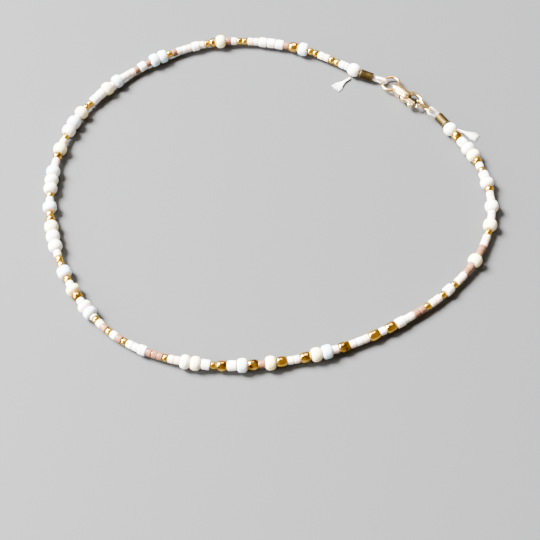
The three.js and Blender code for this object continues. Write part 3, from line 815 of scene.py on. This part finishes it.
@dataclass
class BeadString:
    """Thread with its beads: large drilled ones, and small ones of several kinds between them."""

    height: float = LARGE_BEAD_DIAMETER / 2
    sag: float = 0.2
    sag_run: float = 3.5
    large_gap: float = 0.14
    small_gap: float = 0.08
    large_tilt: float = 0.03
    small_tilt: float = 0.05
    upward_tilt: float = 0.6
    into_crimp: float = 1.3
    thread_step: float = 0.25
    seed: int = 11

    def __post_init__(self) -> None:
        """Lays the beads along the route."""
        self.path = Strand(smooth_curve([Vector((x, y, self.height)) for x, y in ROUTE], 200))
        fill = self.path.length / sum(length for length, _ in RUNS)
        self.beads: list[PlacedBead] = []
        at = 0.0
        for run_length, keys in RUNS:
            kinds = [KINDS[key] for key in keys]
            scale = run_length * fill / sum(kind.length for kind in kinds)
            for kind in kinds:
                self.beads.append(PlacedBead(kind, at, at + kind.length * scale))
                at += kind.length * scale
        self.own = [bead for bead in self.beads if bead.kind.own]

    def dip(self, at: float) -> float:
        """How far the thread hangs under the large beads' axis.

        Args:
            at: place along the thread.

        Returns:
            The distance downward.
        """
        clear = min(max(bead.start - at, at - bead.end, 0.0) for bead in self.own)
        share = min(clear / self.sag_run, 1.0)
        return self.sag * share * share * (3 - 2 * share)

    def point(self, at: float) -> Vector:
        """Point of the thread's centre line."""
        place = self.path.at(at)
        return Vector((place.x, place.y, self.height - self.dip(at)))

    def direction(self, at: float) -> Vector:
        """Direction of the thread at a place along it."""
        return (self.point(at + 0.1) - self.point(at - 0.1)).normalized()

    def build(self, mouths: Sequence[Vector]) -> None:
        """Builds the large beads, the small beads of each kind and the thread.

        Args:
            mouths: points inside the crimp tubes that the thread runs to.
        """
        chance = random.Random(self.seed)
        small: dict[str, Form] = {}
        number = 0
        for bead in self.beads:
            kind, length = bead.kind, bead.end - bead.start
            tilt = self.large_tilt if kind.own else self.small_tilt
            tilts = chance.uniform(-tilt, tilt), chance.uniform(-tilt, tilt) * self.upward_tilt
            stand = Stand.on(self.point(bead.middle), self.direction(bead.middle)).turned(*tilts)
            if kind.own:
                number += 1
                node = f"bead_{number:02d}_{kind.name}"
                form = Form()
                kind.add(form, stand, length - self.large_gap, chance)
                form.show("large_" + node, kind.finish, kind.slot, [node])
            else:
                kind.add(small.setdefault(kind.name, Form()), stand, length - self.small_gap, chance)
        halves = ["string_first_half", "string_second_half"]
        for kind in KINDS.values():
            if kind.name in small:
                small[kind.name].show(kind.name, kind.finish, kind.slot, halves)
        steps = int(self.path.length / self.thread_step)
        core = [self.point(self.path.length * i / steps) for i in range(steps + 1)]
        thread = Form()
        Twist(sides=12).skin(thread, Strand([mouths[0], *core, mouths[1]]), 0.3)
        thread.show("string_thread", THREAD_FINISH, "thread", halves)


# The closure: crimp tubes, thread loops, rings and clasp


def heading(degrees: float) -> Vector:
    """Unit vector in the surface's plane at a bearing from +X."""
    return Vector((math.cos(math.radians(degrees)), math.sin(math.radians(degrees)), 0.0))


@dataclass
class CrimpTube:
    """Tube that holds the thread at one end of the string."""

    name: str
    mouth: Vector
    bearing: float
    diameter: float = 2.0
    length: float = 2.9
    bore: float = 1.26
    rise: float = 0.05
    gap: float = 0.14
    edge: float = 0.14
    sides: int = 48
    press_depth: float = 0.07
    press_reach: float = 0.55
    press_wear: float = 0.25

    def __post_init__(self) -> None:
        """Works out the tube's axis and ends."""
        fall = (self.diameter / 2 + self.rise - self.mouth.z) / self.length
        self.axis = (heading(self.bearing) + UP * fall).normalized()
        self.start = self.mouth + self.axis * self.gap
        self.end = self.start + self.axis * self.length

    def build(self) -> None:
        """Builds the tube with rolled ends and two shallow marks of the pliers."""
        stand = Stand.on((self.start + self.end) / 2, self.axis)
        half, outer, inner, edge = self.length / 2, self.diameter / 2, self.bore / 2, self.edge
        corner = [(edge * (1 - math.sin(a)), outer - edge * (1 - math.cos(a)))
                  for a in (math.pi / 2, math.pi / 3, math.pi / 6, 0.0)]
        section = [
            (-half, inner + edge / 2, 0.5), *((inset - half, radius, 1.0) for inset, radius in corner),
            *((half * share, outer, 0.0) for share in np.linspace(-0.8, 0.8, 25)),
            *((half - inset, radius, 1.0) for inset, radius in reversed(corner)),
            (half, inner + edge / 2, 0.5), (half - edge / 2, inner, 0.2), (edge / 2 - half, inner, 0.2),
        ]
        rings, rims = [], []
        for axial, radius, rim in section:
            marks = [(angle, math.exp(-((axial / self.press_reach) ** 2)) * abs(math.sin(angle)) ** 8)
                     for angle in turns(self.sides)]
            depth = self.press_depth if radius > inner + edge else 0.0
            rings.append([stand.point(axial, radius - depth * press, angle) for angle, press in marks])
            rims.append([max(rim, press * self.press_wear) for _, press in marks])
        form = Form().grid(rings, rims, closed=True)
        form.show(self.name + "_metal", CRIMP_BRONZE, "crimp_metal", [self.name])


@dataclass
class ThreadLoop:
    """Doubled thread from a crimp tube round a ring's wire."""

    name: str
    crimp: CrimpTube
    eye: Vector
    side: Vector
    leg_side: Vector
    spacing: float = 0.56
    eye_radius: float = 0.62
    thread: float = 0.58
    inside: float = 0.4
    fibres: int = 60
    fibre_radius: float = 0.016
    fibre_reach: tuple[float, float] = (0.15, 0.4)
    fibre_height: float = 0.03
    seed: int = 5

    def build(self) -> None:
        """Builds the loop as one spun strand with a few loose fibres."""
        forward = (self.eye - self.crimp.end).normalized()
        across, apart = ((way - forward * way.dot(forward)).normalized()
                         for way in (self.side, self.leg_side))
        apart = apart * (self.spacing / 2)
        inside = self.crimp.end - self.crimp.axis * (self.crimp.length * self.inside)
        legs = [[inside + apart * sign, self.crimp.end + apart * sign] for sign in (1, -1)]
        turn = [self.eye + forward * (self.eye_radius * math.cos(math.radians(a)))
                + across * (self.eye_radius * math.sin(math.radians(a))) for a in (100, 50, 0, -50, -100)]
        path = Strand(smooth_curve([*legs[0], *turn, *reversed(legs[1])], 12))
        form = Form()
        Twist(diameter=self.thread).skin(form, path, 0.09, forward.cross(across))
        chance = random.Random(self.seed)
        for _ in range(self.fibres):
            at = chance.uniform(0.1, 0.9) * path.length
            along = (path.at(at + 0.1) - path.at(at - 0.1)).normalized()
            out = Vector([chance.gauss(0, 1) for _ in range(3)])
            out = (out - along * out.dot(along)).normalized()
            reach = chance.uniform(*self.fibre_reach)
            root = path.at(at) + out * 0.2
            points = [root + along * (reach * 1.3 * t) + out * (reach * t * t) for t in (0, 0.3, 0.6, 1.0)]
            if min(point.z for point in points) > self.fibre_height:
                add_fibre(form, points, self.fibre_radius, chance.random())
        form.show(self.name + "_strand", THREAD_FINISH, "thread", [self.name])


@dataclass
class WireRing:
    """Round ring of bent wire, closed at a fine cut."""

    name: str
    centre: Vector
    across: Vector
    side: Vector
    radius: float
    wire: float
    cut_bearing: float
    cut: float = 0.05
    edge: float = 0.03
    steps: int = 96
    sides: int = 20

    def build(self) -> None:
        """Builds the ring's wire from one cut end to the other."""
        normal = self.across.cross(self.side).normalized()
        gap, edge = self.cut / self.radius, self.edge
        inset = [(0.0, edge), (edge * 0.5, edge * 0.3), (edge, 0.0)]
        whole = 2 * math.pi - gap - 2 * edge / self.radius
        places = [
            *((gap / 2 + s / self.radius, less) for s, less in inset),
            *((gap / 2 + edge / self.radius + whole * k / self.steps, 0.0) for k in range(1, self.steps)),
            *((2 * math.pi - gap / 2 - s / self.radius, less) for s, less in reversed(inset)),
        ]
        rings, rims = [], []
        for turn, less in places:
            angle = math.radians(self.cut_bearing) + turn
            out = self.across * math.cos(angle) + self.side * math.sin(angle)
            stand = Stand(self.centre + out * self.radius, UP, out, -normal)
            rings.append([stand.point(0.0, self.wire / 2 - less, a) for a in reversed(turns(self.sides))])
            rims.append([1.0 if less else 0.0] * self.sides)
        Form().grid(rings, rims, 0.4).show(self.name + "_wire", RING_GOLD, "ring_gold", [self.name])


def solid(rings: Sequence[Sequence[Vector]]) -> Form:
    """Closed solid through rings of points."""
    return Form().grid(rings)


def prism(outline: Sequence[tuple[float, float]], low: float, high: float) -> Form:
    """Upright solid of an outline between two heights."""
    return solid([[Vector((u, v, w)) for u, v in outline] for w in (low, high)])


def column(middle: tuple[float, float], diameter: float, low: float, high: float, edge: float = 0.0) -> Form:
    """Upright round solid.

    Args:
        middle: its place along the clasp and to the clasp's left.
        diameter: its diameter.
        low: height of its underside.
        high: height of its top.
        edge: rounding of both edges.

    Returns:
        The solid's form.
    """
    steps = [(0.0, edge), (edge * 0.3, edge * 0.3), (edge, 0.0)] if edge else [(0.0, 0.0)]
    levels = [*((low + rise, diameter / 2 - less) for rise, less in steps),
              *((high - rise, diameter / 2 - less) for rise, less in reversed(steps))]
    u, v = middle
    return solid([[Vector((u + r * math.cos(a), v + r * math.sin(a), w)) for a in turns(48)]
                  for w, r in levels])


def cast_in_one(name: str, base: Form, changes: Sequence[tuple[str, Form]], voxel: float, softening: int,
                place: Callable[[Vector], Vector]) -> bpy.types.Mesh:
    """Joins closed forms into one casting with soft edges.

    Args:
        name: the mesh's name.
        base: the form that it starts with.
        changes: what is done to it, in order, each with its form.
        voxel: finest detail in millimetres.
        softening: how many times its edges are rounded.
        place: from the forms' own frame to the chart's frame.

    Returns:
        The casting's mesh in the part's frame, in metres.
    """
    used = []
    for form in (base, *(form for _, form in changes)):
        mesh = bpy.data.meshes.new(name)
        mesh.from_pydata([tuple(p) for p in form.points], [], form.faces)
        used.append(put(name, mesh))
    modifiers = used[0].modifiers
    for (operation, _), tool in zip(changes, used[1:]):
        step = modifiers.new(operation, "BOOLEAN")
        step.object, step.operation, step.solver = tool, operation, "EXACT"
    remesh = modifiers.new("remesh", "REMESH")
    remesh.mode, remesh.voxel_size = "VOXEL", voxel
    soften = modifiers.new("soften", "SMOOTH")
    soften.iterations, soften.factor = softening, 0.5
    modifiers.new("fewer", "DECIMATE").ratio = 0.5
    bpy.context.view_layer.update()
    made = bpy.data.meshes.new_from_object(used[0].evaluated_get(bpy.context.evaluated_depsgraph_get()))
    for extra in used:
        data = extra.data
        bpy.data.objects.remove(extra)
        bpy.data.meshes.remove(data)
    made.name = name
    made.materials.clear()
    for vertex in made.vertices:
        vertex.co = (place(vertex.co) + PART_SHIFT) * MM
    made.attributes.new("rim", "FLOAT", "POINT")
    made.attributes.new("tone", "FLOAT", "POINT").data.foreach_set("value", [0.5] * len(made.vertices))
    made.polygons.foreach_set("use_smooth", [True] * len(made.polygons))
    made.update()
    return made


@dataclass
class LobsterClasp:
    """Cast clasp body with its hook, and the sprung lever that closes it."""

    eye: Vector
    bearing: float = -44.5
    barrel_width: float = 2.4
    barrel_height: float = 2.5
    barrel_length: float = 4.5
    squareness: float = 0.72
    tail: float = 0.85
    tail_width: float = 1.8
    eye_height: float = 1.3
    eye_width: float = 0.92
    eye_bow: float = 0.23
    hook_height: float = 1.45
    hook_wire: float = 0.7
    hook_root: float = 1.15
    hook_reach: float = 6.68
    hook_spread: float = 1.85
    pivot: tuple[float, float] = (3.0, -0.65)
    pin: float = 0.6
    pin_play: float = 0.3
    rivet_head: float = 0.05
    lever_thickness: float = 1.04
    side_clearance: float = 0.14
    hub: float = 1.7
    hub_edge: float = 0.06
    lever_length: float = 2.65
    tip_rise: float = 0.25
    tip_width: float = 0.44
    arm_width: float = 0.7
    arm_inset: float = 0.02
    arm_shoulder: float = 0.42
    knob: float = 1.3
    knob_edge: float = 0.18
    knob_reach: float = 2.05
    knob_drop: float = 0.45
    body_detail: tuple[float, int] = (0.045, 5)
    lever_detail: tuple[float, int] = (0.035, 4)

    def place(self, point: Vector) -> Vector:
        """From the clasp's own frame to the chart's frame."""
        along, left = heading(self.bearing), heading(self.bearing + 90)
        return Vector((self.eye.x, self.eye.y, 0.0)) + along * point.x + left * point.y + UP * point.z

    def barrel(self) -> Form:
        """Rounded barrel with soft ends.

        Returns:
            The barrel's form.
        """
        last, wide, narrow = self.barrel_length - self.tail, self.barrel_width, self.tail_width
        # Place along, width, and height as a share of the barrel's
        table = (
            (-self.tail - 0.16, narrow * 0.2, 0.26), (-self.tail - 0.08, narrow * 0.42, 0.48),
            (-self.tail + 0.08, narrow * 0.66, 0.68), (-self.tail + 0.3, narrow * 0.86, 0.83),
            (0.0, narrow, 0.94), (self.tail, wide, 1.0), (last - 0.35, wide, 1.0),
            (last - 0.12, wide * 0.95, 0.96), (last, wide * 0.82, 0.86),
        )
        half = self.barrel_height / 2
        corners = [(powered(math.cos(a), self.squareness), powered(math.sin(a), self.squareness))
                   for a in turns(48)]
        return solid([[Vector((u, width / 2 * c, half * (1 + share * s))) for c, s in corners]
                      for u, width, share in smooth_curve([Vector(row) for row in table], 5)])

    def hook(self) -> Form:
        """Hook that springs from the barrel's outer side, bends and ends beside the lever's tip.

        Returns:
            The hook's form.
        """
        # Place along and across, as shares of the reach and the spread, then width and height of the wire
        table = (
            (0.3, 0.3, 0.8, 1.0), (0.36, 0.38, 0.9, 1.0), (0.5, 0.78, 1.1, 1.0), (0.66, 1.0, 1.1, 0.9),
            (0.82, 0.93, 1.05, 0.75), (0.94, 0.66, 1.0, 0.65), (1.0, 0.24, 1.0, 0.61),
            (0.985, -0.14, 0.95, 0.6), (0.952, -0.32, 0.84, 0.54), (0.935, -0.385, 0.5, 0.34),
        )
        reach, spread = self.hook_reach, self.hook_spread
        path = smooth_curve([Vector((u * reach, v * spread, 0.0)) for u, v, _, _ in table], 8)
        sizes = smooth_curve([Vector((w, t, 0.0)) for _, _, w, t in table], 8)
        rings = []
        for i, (place, size) in enumerate(zip(path, sizes)):
            side = UP.cross((path[min(i + 1, len(path) - 1)] - path[max(i - 1, 0)]).normalized())
            centre = place + UP * self.hook_height
            rings.append([centre + side * (self.hook_wire * size.x / 2 * math.cos(a))
                          + UP * (self.hook_root * size.y / 2 * math.sin(a)) for a in turns(32)])
        return solid(rings)

    def eye_hole(self) -> Form:
        """Hole for the jump ring, across the clasp's tail.

        Returns:
            The form that is taken out.
        """
        middle, reach = -self.eye_bow / 2, (self.eye_width + self.eye_bow) / 2
        outline = [(middle + reach * math.cos(a), self.eye_height + self.eye_width / 2 * math.sin(a))
                   for a in reversed(turns(32))]
        ends = (-2 * self.barrel_width, 2 * self.barrel_width)
        return solid([[Vector((u, v, w)) for u, w in outline] for v in ends])

    def lever_slot(self) -> Form:
        """Slot in the barrel's inner side that the lever turns in.

        Returns:
            The form that is taken out.
        """
        half = self.lever_thickness / 2 + self.side_clearance
        inner = self.pivot[1] + self.hub / 2 + self.side_clearance
        back = self.pivot[0] - self.hub / 2 - self.side_clearance
        front, outer = self.barrel_length, -self.barrel_width
        outline = [(back, outer), (front, outer), (front, inner), (back, inner)]
        return prism(outline, self.hook_height - half, self.hook_height + half)

    def lever(self) -> list[Form]:
        """Pieces that the lever is joined from.

        Returns:
            Hub, arm and thumb knob.
        """
        low = self.hook_height - self.lever_thickness / 2
        high = self.hook_height + self.lever_thickness / 2
        nose = self.tip_width / 2
        bends = [math.radians(a) for a in (-90, -45, 0, 45, 90)]
        outline = [
            (0.0, -self.arm_width / 2), (self.knob_reach * 0.55, -self.knob_drop * 0.6 - 0.2),
            (self.knob_reach, -self.knob_drop - 0.15),
            *((self.lever_length - nose * (1 - math.cos(a)), self.tip_rise + nose * math.sin(a))
              for a in bends),
            (self.lever_length * 0.55, self.arm_shoulder), (0.0, self.arm_width / 2),
        ]
        u, v = self.pivot
        arm = prism([(u + x, v + y) for x, y in outline], low + self.arm_inset, high - self.arm_inset)
        knob = column((u + self.knob_reach, v - self.knob_drop), self.knob, low, high, self.knob_edge)
        return [column(self.pivot, self.hub, low, high, self.hub_edge), arm, knob]

    def build(self) -> None:
        """Builds the body and the lever, each as one casting."""
        half = self.lever_thickness / 2 + self.side_clearance + 0.2
        pin = column(self.pivot, self.pin, self.hook_height - half, self.hook_height + half)
        rivet = column(self.pivot, self.pin * 1.25, self.barrel_height - 0.4, self.barrel_height + 0.03,
                       self.rivet_head)
        changes = [("UNION", self.hook()), ("DIFFERENCE", self.eye_hole()), ("DIFFERENCE", self.lever_slot()),
                   ("UNION", pin), ("UNION", rivet)]
        body = cast_in_one("clasp_body_casting", self.barrel(), changes, *self.body_detail, self.place)
        show("clasp_casting", body, CLASP_GOLD, ["clasp_body"])
        bore = column(self.pivot, self.pin + self.pin_play, 0.0, 3.0)
        hub, arm, knob = self.lever()
        changes = [("UNION", arm), ("UNION", knob), ("DIFFERENCE", bore)]
        lever = cast_in_one("clasp_lever_casting", hub, changes, *self.lever_detail, self.place)
        show("lever_casting", lever, CLASP_GOLD, ["clasp_lever"], LEVER_BODY)


@dataclass
class FrayedTail:
    """Cut end of the thread, frayed into a fan of fibres on the surface."""

    name: str
    root: Vector
    bearing: float
    length: float
    seed: int
    fan: float = 1.9
    fan_scatter: float = 0.36
    fan_limit: float = 0.55
    fan_power: float = 1.6
    stub: float = 0.45
    fibres: int = 190
    fibre_radius: tuple[float, float] = (0.026, 0.045)
    starts: tuple[float, float] = (0.2, 0.42)
    reaches: tuple[float, float] = (0.72, 1.02)
    lowest: float = 0.035

    def build(self) -> None:
        """Builds the spun stub and its fan of loose fibres."""
        along = heading(self.bearing)
        across = UP.cross(along)
        form = Form()
        stub = Strand([self.root + along * (self.length * self.stub * k / 12)
                       + across * (0.05 * math.sin(k * 0.5)) for k in range(13)])
        Twist(diameter=THREAD_DIAMETER * 0.95, groove=0.2).skin(form, stub, 0.1)
        chance = random.Random(self.seed)
        limit = self.fan * self.fan_limit
        for _ in range(self.fibres):
            start, reach = (chance.uniform(*ends) * self.length for ends in (self.starts, self.reaches))
            spread = max(-limit, min(limit, chance.gauss(0, self.fan_scatter) * self.fan))
            offset, height, curl, lift = (
                chance.uniform(*ends) for ends in ((-0.22, 0.22), (-0.12, 0.14), (-0.12, 0.12), (0.0, 0.12)))
            points = []
            for k in range(9):
                t = k / 8
                wave = math.sin(math.pi * t)
                out = offset * (1 - t) + spread * t ** self.fan_power + curl * wave
                z = self.root.z + height * (1 - t) + (lift - self.root.z * 0.6) * t * t + 0.05 * wave
                points.append(Vector((self.root.x, self.root.y, max(z, self.lowest)))
                              + along * (start + (reach - start) * t) + across * out)
            add_fibre(form, points, chance.uniform(*self.fibre_radius), chance.random())
        form.show(self.name + "_fibres", FIBRE_FINISH, "thread", [self.name])


@dataclass
class Closure:
    """Everything between the two ends of the string, placed one after the other from the first crimp tube."""

    string: BeadString
    take_up: float = 0.42
    jump_ring: float = 4.3
    jump_wire: float = 0.6
    jump_cut: float = 70.0
    end_ring: float = 4.3
    end_wire: float = 0.5
    end_cut: float = 115.0
    clearance: float = 0.15
    surface_gap: float = 0.03
    first_bearing: float = -19.0
    last_bearing: float = 121.0
    jump_bearing: float = -28.0
    jump_to_clasp_bearing: float = -56.0
    end_ring_lean: float = 22.0
    end_ring_offset: float = 0.35
    tail_lengths: tuple[float, float] = (4.4, 5.2)
    tail_bearings: tuple[float, float] = (-139.0, -25.0)
    tail_seeds: tuple[int, int] = (3, 4)
    tail_gap: float = 0.1

    def __post_init__(self) -> None:
        """Makes the two crimp tubes, which the rest hangs on."""
        ends = self.string.path
        self.first = CrimpTube("crimp_tube_first", ends.at(0.0), self.first_bearing)
        self.last = CrimpTube("crimp_tube_last", ends.at(ends.length), self.last_bearing)

    def thread_ends(self) -> list[Vector]:
        """Points inside the crimp tubes that the string's thread runs to."""
        return [crimp.start + crimp.axis * self.string.into_crimp for crimp in (self.first, self.last)]

    def tail_root(self, bead: PlacedBead, sign: int) -> Vector:
        """Root of a frayed tail.

        Args:
            bead: the end bead that it lies beside.
            sign: 1 for the bead's left, -1 for its right.

        Returns:
            The root's middle.
        """
        half = THREAD_DIAMETER / 2
        across = UP.cross(self.string.direction(bead.middle)).normalized() * sign
        flat = self.string.point(bead.middle) + across * (self.string.height * 0.82 + half + self.tail_gap)
        return Vector((flat.x, flat.y, half + self.surface_gap))

    def pull(self, wire: float) -> float:
        """How far a loop's middle is from the middle of the ring's wire that it holds."""
        return ThreadLoop.eye_radius - (THREAD_DIAMETER + wire) / 2 - self.clearance

    def build(self) -> None:
        """Builds crimp tubes, loops, rings, clasp and tails."""
        self.first.build()
        self.last.build()
        ahead, beside = heading(self.first_bearing), heading(self.first_bearing + 90)
        jump_radius = (self.jump_ring - self.jump_wire) / 2
        end_radius = (self.end_ring - self.end_wire) / 2
        loop_height = ThreadLoop.eye_radius + THREAD_DIAMETER / 2 + self.surface_gap
        loop_length = ((self.last.end - self.first.end).length
                       - 2 * jump_radius - LobsterClasp.hook_reach - 2 * end_radius - self.take_up)
        first_eye = self.first.end + ahead * loop_length
        first_eye.z = loop_height
        held = first_eye + ahead * self.pull(self.jump_wire)
        centre = held + heading(self.jump_bearing) * jump_radius
        centre.z = (loop_height + LobsterClasp.eye_height) / 2
        tail_eye = centre + heading(self.jump_to_clasp_bearing) * jump_radius
        tail_eye.z = LobsterClasp.eye_height
        across = (tail_eye - held).normalized()
        WireRing("jump_ring", centre, across, UP.cross(across).normalized(), jump_radius, self.jump_wire,
                 self.jump_cut).build()
        clasp = LobsterClasp(tail_eye)
        clasp.build()
        last_eye = self.build_end_ring(clasp, end_radius)
        ThreadLoop("thread_loop_first", self.first, first_eye, UP, beside).build()
        last_eye += (self.last.end - last_eye).normalized() * self.pull(self.end_wire)
        flat = heading(self.last_bearing + 90)
        ThreadLoop("thread_loop_last", self.last, last_eye, flat, flat, seed=8).build()
        ends = ((self.string.own[0], 1), (self.string.own[-1], -1))
        for name, (bead, sign), bearing, length, seed in zip(
                ("thread_tail_first", "thread_tail_last"), ends, self.tail_bearings, self.tail_lengths,
                self.tail_seeds):
            FrayedTail(name, self.tail_root(bead, sign), bearing, length, seed).build()

    def build_end_ring(self, clasp: LobsterClasp, radius: float) -> Vector:
        """Builds the leaning end ring in the clasp's hook.

        Args:
            clasp: the clasp.
            radius: the ring's radius to the middle of its wire.

        Returns:
            The far side of the ring.
        """
        lean = math.radians(self.end_ring_lean)
        along = heading(clasp.bearing)
        upward = UP * math.cos(lean) - heading(clasp.bearing + 90) * math.sin(lean)
        height = radius * math.cos(lean) + self.end_wire / 2 + self.surface_gap
        u = (clasp.hook_reach - clasp.hook_wire / 2 - self.end_wire / 2 - self.clearance
             + math.sqrt(radius ** 2 - ((height - clasp.hook_height) / math.cos(lean)) ** 2))
        centre = clasp.place(Vector((u, self.end_ring_offset, height)))
        WireRing("end_ring", centre, along, upward, radius, self.end_wire, self.end_cut).build()
        return centre + along * radius


# Floor, light and camera


@dataclass(frozen=True)
class Lamp:
    """A soft lamp that looks at the anklet.

    A square lamp has a size in metres and a power in watts. An even lamp is as strong far off as at the
    anklet: its size is the angle that it fills, and its power is that on a square metre.
    """

    name: str
    place: Triple
    size: float
    power: float
    color: Color
    even: bool = False

    def build(self) -> None:
        """Adds the lamp."""
        data = bpy.data.lights.new(self.name, "SUN" if self.even else "AREA")
        data.energy, data.color = self.power, self.color
        if self.even:
            data.angle = self.size
        else:
            data.shape, data.size = "SQUARE", self.size
        made = put(self.name, data)
        made.location = self.place
        made.rotation_euler = (-Vector(self.place)).to_track_quat("-Z", "Y").to_euler()


KEY_PLACE = (-0.4, 0.2, 0.46)
KEY_COLOR = (1.0, 0.985, 0.965)
LAMPS = (
    Lamp("key", KEY_PLACE, 0.28, 31.0, KEY_COLOR),
    Lamp("even_light", KEY_PLACE, 0.45, 44.0, KEY_COLOR, even=True),
    Lamp("top", (-0.04, 0.34, 0.5), 0.2, 2.5, (1.0, 0.97, 0.92)),
    Lamp("left_card", (-0.5, -0.16, 0.2), 0.26, 11.0, (1.0, 0.97, 0.94)),
)


@dataclass
class Studio:
    """Plain pale floor, soft light from the back left and a camera above the front."""

    floor_color: Color = (0.041, 0.0431, 0.0464)
    floor_size: float = 6.0
    floor_drop: float = 2e-5
    mottling: float = 260.0
    paper: float = 1500.0
    room_color: Color = (1.0, 0.74, 0.44)
    room_strength: float = 0.46
    target: Vector = field(default_factory=lambda: Vector((-0.142, -17.652, 0.0)))
    distance: float = 282.0
    elevation: float = 60.0
    lens: float = 94.0

    def paint_floor(self, wiring: Wiring) -> dict[str, object]:
        """Adds the floor's faint grain to its material, and gives what feeds the shader."""
        deeper = tuple(value * 0.97 for value in self.floor_color)
        return {"Base Color": wiring.blend(wiring.grain(self.mottling), self.floor_color, deeper),
                "Normal": wiring.bump(wiring.grain(self.paper), 1e-5, 0.15), "Roughness": 0.75}

    def build(self) -> None:
        """Sets up floor, lamps, room light and camera."""
        mesh = bpy.data.meshes.new("floor")
        corners = ((-1, -1), (1, -1), (1, 1), (-1, 1))
        mesh.from_pydata([(x * self.floor_size, y * self.floor_size, -self.floor_drop) for x, y in corners],
                         [], [(0, 1, 2, 3)])
        mesh.materials.append(painted("pale_floor", self.paint_floor))
        put("floor", mesh)
        for lamp in LAMPS:
            lamp.build()
        world = bpy.data.worlds.new("soft_room")
        world.use_nodes = True
        Wiring(world.node_tree).feed(world.node_tree.nodes["Background"].inputs,
                                     {"Color": self.room_color, "Strength": self.room_strength})
        bpy.context.scene.world = world
        self.camera()

    def camera(self) -> None:
        """Sets the camera above the front of the anklet."""
        data = bpy.data.cameras.new("camera")
        data.lens, data.sensor_width, data.sensor_fit = self.lens, 36.0, "HORIZONTAL"
        data.clip_start = 0.01
        made = put("camera", data)
        tilt = math.radians(self.elevation)
        back = Vector((0.0, -math.cos(tilt), math.sin(tilt))) * self.distance
        made.location = (self.target + back + PART_SHIFT) * MM
        made.rotation_euler = (math.radians(90.0 - self.elevation), 0.0, 0.0)
        bpy.context.scene.camera = made


def main() -> None:
    """Builds the anklet's looks and the studio."""
    logging.basicConfig(level=logging.INFO, format="%(name)s: %(message)s")
    Studio().build()
    string = BeadString()
    closure = Closure(string)
    string.build(closure.thread_ends())
    closure.build()
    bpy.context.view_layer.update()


if __name__ == "__main__":
    main()
